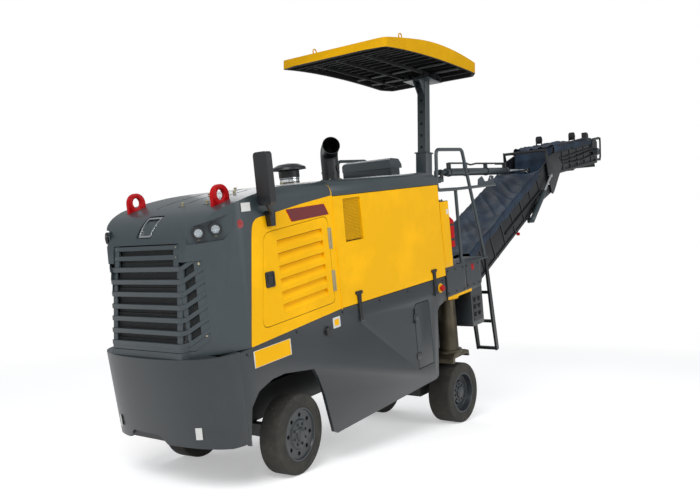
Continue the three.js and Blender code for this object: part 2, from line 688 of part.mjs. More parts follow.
function canopyPost() {
  const half = postSize / 2;
  const tubeSection = block(postX - half, postX + half, postCentreY - half, postCentreY + half, postBottom, postTop);
  const plate = block(postX - 160, postX + 160, postCentreY - 170, postCentreY + 130, postTop - 2, postTop + 12);
  const gusset = (x) => across([[postCentreY - 160, postTop], [postCentreY - half + 2, postTop - 150],
    [postCentreY - half + 2, postTop]], postX + x - 6, postX + x + 6);
  return join(tubeSection, plate, gusset(-40), gusset(40));
}

// Height of the roof's lower edge and its crown along the machine.
const roofProfile = new THREE.Shape();
roofProfile.moveTo(canopyFront, 3600);
roofProfile.quadraticCurveTo(1900, 3735, canopyRear, postTop + 60);
roofProfile.lineTo(canopyRear - 14, 3838);
roofProfile.quadraticCurveTo(2700, 3885, 2346, 3875);
roofProfile.quadraticCurveTo(2020, 3866, 1725, 3806);
roofProfile.quadraticCurveTo(1450, 3755, canopyFront + 41, 3695);
roofProfile.closePath();

const roofPlan = [
  [-canopyHalfWidth, canopyFront + 60], [-420, canopyFront], [420, canopyFront], [canopyHalfWidth, canopyFront + 60],
  [canopyHalfWidth, canopyRear - 120], [canopyHalfWidth - 90, canopyRear], [-canopyHalfWidth + 90, canopyRear],
  [-canopyHalfWidth, canopyRear - 120],
];

function canopyRoof() {
  const blank = across(roofProfile, -canopyHalfWidth, canopyHalfWidth).intersect(upward(roofPlan, 3500, 4100));
  const inner = blank.translate([0, -2120, -3740]).scale([0.95, 0.965, 1]).translate([0, 2120, 3740 - 26]);
  const crossBars = [1500, 2400].map((y) => block(-canopyHalfWidth + 20, canopyHalfWidth - 20, y, y + 40, 3700, 3740));
  const spine = [-110, 90].map((x) => block(postX + x, postX + x + 20, 1500, 2990, postTop + 12 + gap, 3735));
  return join(join(cut(blank, inner), crossBars).translate([canopyCentre, 0, 0]), spine);
}

machine.add(piece('canopy_column', canopyColumn(), 'grey'));
machine.add(piece('cylinder_swivel', cylinderSwivel(), 'black'));
machine.add(piece('canopy_post', canopyPost(), 'grey'));
machine.add(piece('canopy_roof', canopyRoof(), 'yellow'));

// ---------- milling drum and its housing ----------
const drumAxis = [2583, 215];
const drumWall = 25;

function drumHousing() {
  const sideOutline = [[2235, -60], [2235, 600], [2330, 700], [2850, 700], [2940, 560], [2940, 150], [2800, -70]];
  const cavity = [[2262, -200], [2262, 590], [2342, 674], [2838, 674], [2913, 552], [2913, -200]];
  const shell = cut(across(sideOutline, -housingHalfWidth, housingHalfWidth),
    across(cavity, -housingHalfWidth + drumWall, housingHalfWidth - drumWall));
  const hanger = (x) => block(x - 10, x + 10, 2485, 2685, 699, 960 - gap);
  const tie = block(-railOuter, railOuter, 2215 + gap, 2236, 420, 640);
  const outlet = block(-200, 200, 2900, 3000, 330, 520);
  const journalReach = housingHalfWidth - drumWidth / 2 - gap;
  const journal = bar([housingHalfWidth - journalReach, ...drumAxis], [housingHalfWidth, ...drumAxis], 90, 20);
  return join(cut(shell, outlet), hanger(-200), hanger(200), tie, journal, mirrored(journal));
}

function millingDrum() {
  const core = bar([-drumWidth / 2, ...drumAxis], [drumWidth / 2, ...drumAxis], drumDiameter / 2 - 70, 32);
  const holders = [];
  const turns = 14;
  for (let i = 0; i < turns; i += 1) {
    const angle = (i / turns) * 2 * Math.PI * 3;
    const x = -drumWidth / 2 + 25 + (i * (drumWidth - 50)) / (turns - 1);
    const holder = block(x - 18, x + 18, -24, 24, drumDiameter / 2 - 90, drumDiameter / 2);
    holders.push(holder.rotate([(angle * 180) / Math.PI, 0, 0]).translate([0, ...drumAxis]));
  }
  return join(core, holders);
}

body.add(piece('drum_housing', drumHousing(), 'black'));
body.add(piece('milling_drum', millingDrum(), 'steel'));

// ---------- front axle and steered wheels ----------
const axleHalf = 45;

function frontAxle() {
  const beam = block(-kingpinCentre + 42, kingpinCentre - 42, -axleHalf, axleHalf, axleHeight - 50, axleHeight + 45);
  const boss = block(-95, 95, -80, 80, axleHeight - 60, axleHeight + 70);
  const cylinder = bar([-220, 95, axleHeight], [220, 95, axleHeight], 32, 16);
  const mounts = [-150, 150].map((x) => block(x - 15, x + 15, axleHalf - 1, 100, axleHeight - 25, axleHeight + 25));
  const fork = (z) => upward([[-58, -axleHalf], [36, -40], [36, 40], [-58, axleHalf]], z, z + 26)
    .translate([kingpinCentre, 0, 0]);
  const upper = fork(axleHeight + 62);
  const lower = fork(axleHeight - 88);
  const web = block(kingpinCentre - 60, kingpinCentre - 41, -axleHalf, axleHalf, axleHeight - 88, axleHeight + 88);
  const end = join(upper, lower, web);
  return join(beam, boss, cylinder, mounts, end, mirrored(end));
}

function knuckle() {
  const post = bar([0, 0, -61.5], [0, 0, 61.5], 34, 20);
  const spindle = bar([20, 0, 0], [frontWheelCentre - kingpinCentre + 10, 0, 0], 38, 20);
  const arm = upward([[-25, 20], [25, 20], [9, 48], [-9, 48]], -20, 20);
  return join(post, spindle, arm);
}

const wheelSides = 32;
const standingTurn = Math.PI / wheelSides;   // a flat of the facets down

function rim(width, radius, hubRadius, dish) {
  const half = width / 2;
  return turned([[hubRadius, -half + 30], [radius - 14, -half + 30], [radius - 14, -half], [radius, -half], [radius, half],
    [radius - 14, half], [radius - 16, half - dish], [120, half - dish - 6], [112, half - dish + 22],
    [60, half - dish + 26], [hubRadius, half - dish + 26], [hubRadius, -half + 30]], wheelSides).rotate([0, 90, 0]);
}

function tyre(diameter, width) {
  const half = width / 2;
  const outer = diameter / 2;
  const inner = rimRadius + gap;
  return turned([[inner, -half + 4], [outer - 22, -half], [outer, -half + 22], [outer, half - 22], [outer - 22, half],
    [inner, half - 4], [inner, -half + 4]], wheelSides).rotate([0, 90, 0]);
}

const spindleRadius = 38;
const hubBore = spindleRadius + 1;

function frontWheel(side, name) {
  const stub = new THREE.Group();
  stub.position.set(side * kingpinCentre, 0, axleHeight);
  stub.rotation.z = radians(steerAngle);
  const flip = (manifold) => (side > 0 ? manifold : mirrored(manifold));
  stub.add(piece(`${name}_knuckle`, flip(knuckle()), 'black'));
  const wheel = new THREE.Group();
  wheel.position.x = side * (frontWheelCentre - kingpinCentre);
  wheel.rotation.x = standingTurn;
  wheel.add(piece(`${name}_front_rim`, flip(rim(frontTyreWidth - 10, rimRadius, hubBore, 12)), 'darkGrey'));
  wheel.add(piece(`${name}_front_tyre`, tyre(frontWheelDiameter, frontTyreWidth), 'tyre'));
  stub.add(wheel);
  machine.add(stub);
}

machine.add(piece('front_axle', frontAxle(), 'black'));
frontWheel(1, 'left');
frontWheel(-1, 'right');

// ---------- rear lifting legs and wheels ----------
// The rear axle's place in the body's frame, so that the wheels stand on the ground.
const rearAxleZ = axleHeight - wheelbase * sinPitch;
const yokeTop = 372;
const legTop = 1015;

function leg() {
  const column = bar([0, legAxisY, yokeTop - 1], [0, legAxisY, legTop], legDiameter / 2, 20);
  const flange = bar([0, legAxisY, yokeTop - 28], [0, legAxisY, yokeTop], 128, 20);
  const top = across([[-152, 255], [-152, 300], [-112, yokeTop - 20], [108, yokeTop - 20], [188, 325], [198, 265],
    [173, 265], [153, 300], [108, 300], [-106, 300], [-112, 255]], -120, 120).translate([0, legAxisY, 0]);
  const arm = across([[-152, 310], [148, 310], [108, rearAxleZ - 70], [-102, rearAxleZ - 70]], -rearTyreWidth / 2 - 45,
    -rearTyreWidth / 2 - 10).translate([0, legAxisY, 0]);
  const shoulder = block(-rearTyreWidth / 2 - 45, -100, legAxisY - 112, legAxisY + 118, 300, yokeTop - 20);
  const axle = bar([-rearTyreWidth / 2 - 20, legAxisY, rearAxleZ], [40, legAxisY, rearAxleZ], spindleRadius, 20);
  return join(column, flange, top, arm, shoulder, axle);
}

function rearWheel(side, name) {
  const flip = (manifold) => (side > 0 ? manifold : mirrored(manifold));
  const placed = (manifold) => flip(manifold.translate([rearWheelCentre, 0, 0]));
  body.add(piece(`${name}_leg`, placed(leg()), 'steel'));
  const wheel = new THREE.Group();
  wheel.position.set(side * rearWheelCentre, legAxisY, rearAxleZ);
  wheel.rotation.x = standingTurn - radians(bodyPitch);
  wheel.add(piece(`${name}_rear_rim`, flip(rim(rearTyreWidth - 10, rimRadius, hubBore, 70)), 'darkGrey'));
  wheel.add(piece(`${name}_rear_tyre`, tyre(rearWheelDiameter, rearTyreWidth), 'tyre'));
  body.add(wheel);
}

rearWheel(1, 'left');
rearWheel(-1, 'right');

// ---------- discharge conveyor ----------
const tanLower = Math.tan(radians(conveyorSlope));
const tanUpper = Math.tan(radians(upperSlope));
const lowerBottom = (y) => 1534 + tanLower * (y - 3731);
const upperBottom = (y) => 3070 + tanUpper * (y - 6400);
const lowerDepth = conveyorDepth / Math.cos(radians(conveyorSlope));
const upperDepth = conveyorDepth / Math.cos(radians(upperSlope));
const lowerTop = (y) => lowerBottom(y) + lowerDepth;
const upperTop = (y) => upperBottom(y) + upperDepth;
const yokeInner = conveyorHalfWidth + 26;
const rodEye = [postX, 5510, 3004];
const footY = 3130;
const lowerEnd = 5720;
const upperStart = 5860;
const tipY = 7860;

function slewYoke() {
  const hub = bar([postX, slewAxisY, 1000], [postX, slewAxisY, 1090], 40, 20);
  const tongue = block(postX - 50, postX + 50, slewAxisY, liftHingeY, 1060, 1090);
  const plate = block(-yokeInner - 20, yokeInner + 20, liftHingeY - 34, liftHingeY + 60, 1060, 1090);
  const cheek = block(yokeInner, yokeInner + 20, liftHingeY - 34, liftHingeY + 60, 1070, liftHingeZ + 45);
  return join(hub, tongue, plate, cheek, mirrored(cheek));
}

// The bracket under the platform's rear beam that the yoke turns on.
function slewSeat() {
  const drop = block(postX - 110, postX + 110, 3070, 3095, 480, 830 - gap);
  const arm = uprightInBody(block(postX - 110, postX + 110, 2995, slewAxisY + 60, 940, 1000 - gap));
  return join(drop, arm);
}

function conveyorLower() {
  const [eyeX, eyeY, eyeZ] = rodEye;
  const side = [[footY, lowerBottom(footY) + 10], [footY, lowerTop(footY) - 30], [lowerEnd, lowerTop(lowerEnd)],
    [lowerEnd, lowerBottom(lowerEnd)]];
  const plate = across(side, conveyorHalfWidth - 12, conveyorHalfWidth);
  const ties = [3160, 3900, 4700, 5500].map((y) =>
    block(-conveyorHalfWidth + 5, conveyorHalfWidth - 5, y, y + 50, lowerBottom(y) + 60, lowerBottom(y) + 110));
  const belt = across([[footY + 20, lowerBottom(footY + 20) + 170], [footY + 20, lowerBottom(footY + 20) + 190],
    [lowerEnd - 10, lowerBottom(lowerEnd - 10) + 190], [lowerEnd - 10, lowerBottom(lowerEnd - 10) + 170]],
  -conveyorHalfWidth + 5, conveyorHalfWidth - 5);
  const hinge = bar([conveyorHalfWidth - 2, liftHingeY, liftHingeZ], [yokeInner - gap, liftHingeY, liftHingeZ], 30, 16);
  const foldEar = across([[lowerEnd - 260, lowerBottom(lowerEnd - 260) - 2], [lowerEnd - 260, lowerBottom(lowerEnd - 260) + 90],
    [lowerEnd, lowerBottom(lowerEnd) + 90], [foldHingeY + 40, foldHingeZ + 10], [foldHingeY + 20, foldHingeZ - 40],
    [foldHingeY - 30, foldHingeZ - 45]], conveyorHalfWidth - 2, conveyorHalfWidth + 12)
    .subtract(bar([conveyorHalfWidth - 10, foldHingeY, foldHingeZ], [conveyorHalfWidth + 20, foldHingeY, foldHingeZ], 17.2, 16));
  const eyeBar = block(-conveyorHalfWidth + 5, conveyorHalfWidth - 5, eyeY - 20, eyeY + 20, eyeZ - 100, eyeZ - 60);
  const eyeLug = [-34, 22].map((x) => across([[eyeY - 20, eyeZ - 70], [eyeY + 20, eyeZ - 70], [eyeY + 26, eyeZ + 24],
    [eyeY - 26, eyeZ + 24]], eyeX + x, eyeX + x + 12));
  const cylinderLug = across([[4960, lowerBottom(4960) + 40], [5060, lowerBottom(5060) + 40], [5045, 2225], [4990, 2225]],
    conveyorHalfWidth - 2, conveyorHalfWidth + 14);
  return join(plate, mirrored(plate), ties, belt, hinge, mirrored(hinge), foldEar, mirrored(foldEar), eyeBar, eyeLug,
    cylinderLug);
}

const lugInner = conveyorHalfWidth + 18;
const hoopTop = 3290;

function conveyorUpper() {
  const side = [[upperStart, upperBottom(upperStart)], [upperStart, upperBottom(upperStart) + upperDepth],
    [tipY - 200, upperBottom(tipY - 200) + upperDepth], [tipY - 120, upperBottom(tipY - 120) + upperDepth - 60],
    [tipY - 120, upperBottom(tipY - 120)]];
  const plate = across(side, conveyorHalfWidth - 12, conveyorHalfWidth);
  const ties = [5950, 6600, 7250].map((y) =>
    block(-conveyorHalfWidth + 5, conveyorHalfWidth - 5, y, y + 50, upperBottom(y) + 60, upperBottom(y) + 110));
  const belt = across([[upperStart + 10, upperBottom(upperStart + 10) + 170], [upperStart + 10, upperBottom(upperStart + 10) + 190],
    [tipY - 140, upperBottom(tipY - 140) + 190], [tipY - 140, upperBottom(tipY - 140) + 170]],
  -conveyorHalfWidth + 5, conveyorHalfWidth - 5);
  const drum = bar([-conveyorHalfWidth + 5, tipY - 210, upperBottom(tipY - 210) + 190],
    [conveyorHalfWidth - 5, tipY - 210, upperBottom(tipY - 210) + 190], 110, 20);
  const lug = across([[foldHingeY - 45, foldHingeZ - 20], [foldHingeY, foldHingeZ - 55], [foldHingeY + 45, foldHingeZ - 20],
    [6050, upperBottom(6050)], [6150, upperBottom(6150) + 120], [5900, upperBottom(5900) + 330], [5640, 3180],
    [5590, hoopTop], [5550, hoopTop], [5560, 3180], [5640, 2900]], lugInner, lugInner + 16);
  const foldPin = bar([conveyorHalfWidth, foldHingeY, foldHingeZ], [lugInner + 16, foldHingeY, foldHingeZ], 16.4, 16);
  const spacer = block(conveyorHalfWidth - 2, lugInner + 2, 5900, 6060, upperBottom(6000) + 40, upperBottom(6000) + 240);
  const hoopBar = bar([-lugInner - 8, 5570, hoopTop - 20], [lugInner + 8, 5570, hoopTop - 20], 20, 10);
  const guardX = conveyorHalfWidth + 14;
  const guard = bentPath([[guardX, tipY - 260, upperBottom(tipY - 260) + 60], [guardX, tipY - 18, upperBottom(tipY - 60) + 40],
    [guardX, tipY - 18, upperBottom(tipY) + 400], [guardX, tipY - 420, upperBottom(tipY - 420) + 400],
    [guardX, tipY - 420, upperBottom(tipY - 420) + 200]], 40);
  const guardTube = tube(guard, 15, 16, 6);
  const guardCross = [[tipY - 18, upperBottom(tipY - 60) + 60], [tipY - 18, upperBottom(tipY) + 380]].map(([y, z]) =>
    bar([-guardX, y, z], [guardX, y, z], 13, 8));
  return join(plate, mirrored(plate), ties, belt, drum, lug, mirrored(lug), foldPin, mirrored(foldPin), spacer,
    mirrored(spacer), hoopBar,
    guardTube, mirrored(guardTube), guardCross);
}

// The tarpaulins lie over the side plates and hang down a little outside them.
const clothThickness = 14;
const clothDrop = 110;

function tarpaulin(start, end, top) {
  const inner = conveyorHalfWidth + gap;
  const outer = inner + clothThickness;
  const section = [[-outer, -clothDrop], [-inner, -clothDrop], [-inner, 0], [inner, 0], [inner, -clothDrop],
    [outer, -clothDrop], [outer, clothThickness], [-outer, clothThickness]];
  return along(section, start, end).warp((vertex) => { vertex[2] += top(vertex[1]) + gap; });
}

const lowerCover = () => tarpaulin(footY + 60, lowerEnd - 400, lowerTop);
const upperCover = () => tarpaulin(upperStart + 20, tipY - 460, upperTop);

body.add(piece('slew_bracket', slewSeat(), 'black'));
machine.add(piece('slew_yoke', slewYoke(), 'black'));
machine.add(piece('conveyor_lower', conveyorLower(), 'black'));
machine.add(piece('conveyor_upper', conveyorUpper(), 'black'));
machine.add(piece('lower_tarpaulin', lowerCover(), 'sheet'));
machine.add(piece('upper_tarpaulin', upperCover(), 'sheet'));

// Lift cylinder: from the canopy column to the outer end of the lower section.
const liftGland = 1800;
const liftRodRadius = 19;
const liftAlong = (distance) => {
  const from = new THREE.Vector3(...cylinderEye);
  const to = new THREE.Vector3(...rodEye);
  return from.clone().add(to.sub(from).setLength(distance)).toArray();
};

function liftBarrel() {
  const [eyeX, eyeY, eyeZ] = cylinderEye;
  const eyeRing = cut(bar([eyeX - 28, eyeY, eyeZ], [eyeX + 28, eyeY, eyeZ], 34, 16),
    bar([eyeX - 30, eyeY, eyeZ], [eyeX + 30, eyeY, eyeZ], 16, 12));
  const shank = bar(liftAlong(30), liftAlong(200), 20, 10);
  return cut(join(eyeRing, shank, bar(liftAlong(160), liftAlong(liftGland), 46, 16)),
    bar(liftAlong(900), liftAlong(liftGland + 10), liftRodRadius + slideFit, 12));
}

function liftRod() {
  const [eyeX, eyeY, eyeZ] = rodEye;
  return join(bar(liftAlong(1200), rodEye, liftRodRadius, 12), bar([eyeX - 20, eyeY, eyeZ], [eyeX + 20, eyeY, eyeZ], 24, 12));
}

machine.add(piece('lift_cylinder', liftBarrel(), 'grey'));
machine.add(piece('lift_rod', liftRod(), 'chrome'));

const foldBase = [conveyorHalfWidth + 50, 5017, 2250];
const foldEye = [conveyorHalfWidth + 50, 5677, 2925];
const foldAlong = (distance) => {
  const from = new THREE.Vector3(...foldBase);
  const to = new THREE.Vector3(...foldEye);
  return from.clone().add(to.sub(from).setLength(distance)).toArray();
};

function foldBarrel() {
  const eyeRing = bar([conveyorHalfWidth + 14 + gap, foldBase[1], foldBase[2]], [foldBase[0] + 20, foldBase[1], foldBase[2]], 24, 12);
  return cut(join(eyeRing, bar(foldBase, foldAlong(600), 34, 14)), bar(foldAlong(120), foldAlong(610), 17, 10));
}

function foldRod() {
  return join(bar(foldAlong(300), foldEye, 16.2, 10),
    bar([lugInner + 16 + gap, foldEye[1], foldEye[2]], [foldEye[0] + 18, foldEye[1], foldEye[2]], 24, 12));
}

machine.add(piece('fold_cylinder', foldBarrel(), 'grey'));
machine.add(piece('fold_rod', foldRod(), 'chrome'));

// The origin is the middle of the footprint, on the ground.
const box = new THREE.Box3().setFromObject(machine, true);
const centre = box.getCenter(new THREE.Vector3());
const part = new THREE.Group();
machine.position.set(-centre.x, -centre.y, -box.min.z);
part.add(machine);
part.updateMatrixWorld(true);

export default part;
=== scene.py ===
import json
import math

import bmesh
import bpy
from mathutils import Matrix, Vector, noise


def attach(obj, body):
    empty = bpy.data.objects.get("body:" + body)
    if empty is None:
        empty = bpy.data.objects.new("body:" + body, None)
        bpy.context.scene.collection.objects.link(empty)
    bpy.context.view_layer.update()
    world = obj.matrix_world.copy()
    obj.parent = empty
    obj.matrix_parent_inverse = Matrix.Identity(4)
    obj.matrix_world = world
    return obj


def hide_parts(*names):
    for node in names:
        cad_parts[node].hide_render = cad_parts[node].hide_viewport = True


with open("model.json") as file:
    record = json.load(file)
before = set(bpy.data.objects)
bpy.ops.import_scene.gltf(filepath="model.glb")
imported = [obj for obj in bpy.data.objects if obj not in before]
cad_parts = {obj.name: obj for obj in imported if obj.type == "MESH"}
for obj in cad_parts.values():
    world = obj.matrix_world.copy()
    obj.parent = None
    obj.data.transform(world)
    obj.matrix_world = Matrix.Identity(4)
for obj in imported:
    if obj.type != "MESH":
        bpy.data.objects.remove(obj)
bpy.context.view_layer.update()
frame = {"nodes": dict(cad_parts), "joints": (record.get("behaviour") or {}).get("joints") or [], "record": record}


# ---------- measuring frames and camera ----------
# Places are given in millimetres from the front axle's middle on the ground: "upright" for the
# wheels, canopy and conveyor, "body" in the nose-down body's own level frame. The axle is
# found from the steering joint. The camera stands off the front left corner at eye height.
def joint(name):
    return next(entry for entry in frame["joints"] if entry["name"] == name)


KINGPIN = (385, 0, 310)
BODY_PITCH = math.radians(8.69)
upright = Matrix.Translation(Vector(joint("left_steer")["pos_m"])) @ Matrix.Scale(0.001, 4)
upright = upright @ Matrix.Translation(-Vector(KINGPIN))
body_frame = (
    upright @ Matrix.Translation((0, 0, KINGPIN[2])) @ Matrix.Rotation(BODY_PITCH, 4, "X")
    @ Matrix.Translation((0, 0, -KINGPIN[2]))
)

CAMERA_PLACE = (4427.8, -4366.7, 1506.9)
CAMERA_YAW = math.radians(37.19)
CAMERA_RISE = math.radians(1.97)
CAMERA_ROLL = math.radians(-0.255)
CAMERA_LENS = 38.65


def add_camera():
    camera = bpy.data.objects.new("camera", bpy.data.cameras.new("camera"))
    bpy.context.scene.collection.objects.link(camera)
    camera.data.lens = CAMERA_LENS
    camera.data.sensor_width = 36
    camera.data.clip_end = 100
    forward = Vector((
        -math.sin(CAMERA_YAW) * math.cos(CAMERA_RISE), math.cos(CAMERA_YAW) * math.cos(CAMERA_RISE),
        math.sin(CAMERA_RISE)
    ))
    level = Vector((math.cos(CAMERA_YAW), math.sin(CAMERA_YAW), 0))
    head = level.cross(forward)
    right = level * math.cos(CAMERA_ROLL) + head * math.sin(CAMERA_ROLL)
    up = right.cross(forward)
    turn = Matrix((right, up, -forward)).transposed().to_4x4()
    camera.matrix_world = Matrix.Translation(upright @ Vector(CAMERA_PLACE)) @ turn
    bpy.context.scene.camera = camera


add_camera()


# ---------- studio ----------
# A white surround that lights the machine only dimly, one large soft key lamp high on the camera's
# left, a weaker fill on its right and a faint lamp behind the machine.
def surround():
    world = bpy.data.worlds.new("surround")
    bpy.context.scene.world = world
    world.use_nodes = True
    nodes, links = world.node_tree.nodes, world.node_tree.links
    nodes.clear()
    out = nodes.new("ShaderNodeOutputWorld")
    ways = nodes.new("ShaderNodeLightPath")
    mix = nodes.new("ShaderNodeMixShader")
    seen, lit = nodes.new("ShaderNodeBackground"), nodes.new("ShaderNodeBackground")
    seen.inputs["Color"].default_value = (1, 1, 1, 1)
    seen.inputs["Strength"].default_value = 1.0
    lit.inputs["Color"].default_value = (0.93, 0.96, 1.0, 1)
    lit.inputs["Strength"].default_value = 0.46
    either = nodes.new("ShaderNodeMath")
    either.operation = "MAXIMUM"
    links.new(ways.outputs["Is Camera Ray"], either.inputs[0])
    links.new(ways.outputs["Is Transmission Ray"], either.inputs[1])
    links.new(either.outputs[0], mix.inputs[0])
    links.new(lit.outputs[0], mix.inputs[1])
    links.new(seen.outputs[0], mix.inputs[2])
    links.new(mix.outputs[0], out.inputs[0])


def lamp(name, place, aim, size, power, colour=(1, 1, 1)):
    data = bpy.data.lights.new(name, "AREA")
    data.shape = "RECTANGLE"
    data.size, data.size_y = size
    data.energy = power
    data.color = colour
    light = bpy.data.objects.new(name, data)
    bpy.context.scene.collection.objects.link(light)
    place, aim = upright @ Vector(place), upright @ Vector(aim)
    light.matrix_world = Matrix.Translation(place) @ (
        aim - place
    ).to_track_quat("-Z", "Y").to_matrix().to_4x4()


surround()
lamp("key_lamp", (3200, -6200, 7200), (0, 1200, 1300), (5, 4), 540)
lamp("fill_lamp", (8000, 2600, 4600), (0, 2000, 1500), (5, 4), 200)
lamp("rear_lamp", (-5200, 7000, 6000), (0, 3000, 1500), (5, 4), 120)


# ---------- finishes ----------
# Sprayed paint with a faint orange peel, a little road dust that gathers low down and on what
# faces up, and slightly darker, duller patches. The other finishes follow with their pieces.
class Value:
    """A number or colour that a node gives. Arithmetic on it adds Math nodes."""

    def __init__(self, finish, socket):
        self.finish, self.socket = finish, socket

    def math(self, operation, *others, clamp=False):
        return self.finish.node(
            "ShaderNodeMath", {"operation": operation, "use_clamp": clamp},
            {i: v for i, v in enumerate((self, *others))}
        )

    def __add__(self, other):
        return self.math("ADD", other)

    def __sub__(self, other):
        return self.math("SUBTRACT", other)

    def __rsub__(self, other):
        return self.finish.node("ShaderNodeMath", {"operation": "SUBTRACT"}, {0: other, 1: self})

    def __mul__(self, other):
        return self.math("MULTIPLY", other)

    def __truediv__(self, other):
        return self.math("DIVIDE", other)

    def above(self, edge, soft):
        """0 below edge and 1 above edge + soft."""
        return ((self - edge) / soft).math("ADD", 0.0, clamp=True)

    def below(self, edge, soft):
        return 1 - self.above(edge, soft)


class Finish:
    """A material whose maths is written as expressions."""

    def __init__(self, name, colour, roughness, **sockets):
        self.material = bpy.data.materials.new(name)
        self.material.use_nodes = True
        self.tree = self.material.node_tree
        self.shader = self.tree.nodes["Principled BSDF"]
        self.set("Base Color", colour)
        self.set("Roughness", roughness)
        for socket, value in sockets.items():
            self.set(socket.replace("_", " "), value)

    def set(self, socket, value):
        self.join(value, self.shader.inputs[socket])

    def join(self, value, target):
        if isinstance(value, Value):
            self.tree.links.new(value.socket, target)
        elif target.type == "RGBA" and len(value) == 3:
            target.default_value = (*value, 1)
        else:
            target.default_value = value

    def node(self, kind, settings=None, inputs=None, output=0):
        made = self.tree.nodes.new(kind)
        for key, value in (settings or {}).items():
            setattr(made, key, value)
        for key, value in (inputs or {}).items():
            self.join(value, made.inputs[key])
        return Value(self, made.outputs[output])

    def place(self, frame_matrix=None):
        """Object coordinates, or the same point in one of the measuring frames."""
        spot = self.node("ShaderNodeTexCoord", output="Object")
        if frame_matrix is None:
            return spot
        move, turn, size = frame_matrix.inverted().decompose()
        return self.node(
            "ShaderNodeMapping", {"vector_type": "POINT"},
            {"Vector": spot, "Location": move, "Rotation": turn.to_euler(), "Scale": size}
        )

    def parts(self, vector):
        split = self.node("ShaderNodeSeparateXYZ", inputs={0: vector})
        outputs = split.socket.node.outputs
        return [Value(self, outputs[i]) for i in range(3)]

    def noise(self, vector, scale, detail=2.0, rough=0.5, distortion=0.0):
        return self.node(
            "ShaderNodeTexNoise",
            inputs={
                "Vector": vector, "Scale": scale, "Detail": detail, "Roughness": rough,
                "Distortion": distortion
            }
        )

    def blend(self, factor, first, second):
        made = self.tree.nodes.new("ShaderNodeMix")
        made.data_type = "RGBA"
        for key, value in ((0, factor), (6, first), (7, second)):
            self.join(value, made.inputs[key])
        return Value(self, made.outputs[2])

    def facing_up(self):
        normal = self.node("ShaderNodeNewGeometry", output="Normal")
        return self.parts(normal)[2]

    def bump(self, height, strength, distance):
        self.set(
            "Normal",
            self.node(
                "ShaderNodeBump", inputs={"Height": height, "Strength": strength, "Distance": distance}
            )
        )


def linear(hexcode):
    """A colour as the shader wants it, from its usual six-digit notation."""
    shares = [int(hexcode[i:i + 2], 16) / 255 for i in (0, 2, 4)]
    return tuple(c / 12.92 if c < 0.04045 else ((c + 0.055) / 1.055) ** 2.4 for c in shares)


DUST = linear("8C8779")


def paint(name, colour, roughness=0.34, dust=0.35, coat=0.15, peel=0.05, shine=0.5):
    finish = Finish(
        name, colour, roughness, Coat_Weight=coat, Coat_Roughness=0.12, Specular_IOR_Level=shine
    )
    spot = finish.place()
    height = finish.parts(finish.place(upright))[2]
    patches = finish.noise(spot, 2.3, 4.0, 0.6)
    specks = finish.noise(spot, 60.0, 3.0, 0.7)
    low = height.below(150, 900)
    settled = finish.facing_up().above(0.5, 0.5) * 0.35 + low * 0.5
    film = settled * patches.above(0.42, 0.25) * specks.above(0.35, 0.4) * dust
    darker = tuple(c * 0.9 for c in colour)
    finish.set(
        "Base Color", finish.blend(film, finish.blend(patches.above(0.45, 0.2), darker, colour), DUST)
    )
    finish.set("Roughness", film * 0.5 + patches * 0.1 + (roughness - 0.05))
    finish.bump(finish.noise(spot, 260.0, 2.0), peel, 0.002)
    return finish


def plain(name, colour, roughness, grain=80.0, depth=0.1, vary=0.15, **sockets):
    """A dull material with a fine grain and a slight change of colour over it."""
    finish = Finish(name, colour, roughness, **sockets)
    spot = finish.place()
    cloud = finish.noise(spot, 6.0, 4.0, 0.6)
    darker = tuple(c * (1 - vary) for c in colour)
    finish.set("Base Color", finish.blend(cloud.above(0.35, 0.3), darker, colour))
    finish.set("Roughness", cloud * 0.15 + (roughness - 0.07))
    finish.bump(finish.noise(spot, grain, 3.0), depth, 0.003)
    return finish


YELLOW = linear("FFBE00")
yellow_paint = paint("yellow_paint", YELLOW, 0.4, dust=0.03, coat=0.02, shine=0.15)
canopy_paint = paint("canopy_paint", linear("DCA400"), 0.6, dust=0.0, coat=0.0, shine=0.1)
grey_paint = paint("grey_paint", linear("343E42"), 0.36, dust=0.06)
dark_paint = paint("dark_paint", linear("272D31"), 0.4, dust=0.12)
black_paint = paint("black_paint", linear("111316"), 0.42, dust=0.1, coat=0.08)
red_paint = paint("red_paint", linear("B80008"), 0.45, dust=0.02, coat=0.02, shine=0.2)
bronze_steel = plain("bronze_steel", linear("5A5343"), 0.42, 30.0, 0.15, 0.4, Metallic=0.7)
chrome = plain("chrome", linear("C8CACB"), 0.12, 200.0, 0.02, 0.05, Metallic=1.0)
zinc = plain("zinc", linear("B4AC8C"), 0.4, 120.0, 0.05, 0.2, Metallic=0.8)
rubber = plain("rubber", linear("1B1C1D"), 0.7, 140.0, 0.2, 0.2)
# Near black: painted shade in the louvre slits, behind the punched screens and in the post's holes, and the black
# of the lid seams and the canopy's underside.
shade_and_black = plain("shade_and_black", linear("0C0D0E"), 0.8, 90.0, 0.1, 0.3)

BY_SLOT = {
    "yellow": yellow_paint, "canopy_yellow": canopy_paint, "grey": grey_paint, "dark_grey": dark_paint,
    "black": black_paint, "red": red_paint, "bare_steel": bronze_steel, "drum_steel": bronze_steel,
    "rod_chrome": chrome, "tyre": rubber, "seat_leather": rubber, "sheet": rubber,
}


for entry in frame["record"]["subparts"]:
    shell = frame["nodes"][entry["node"]].data
    shell.materials.clear()
    shell.materials.append(BY_SLOT[entry["material_slot"]].material)


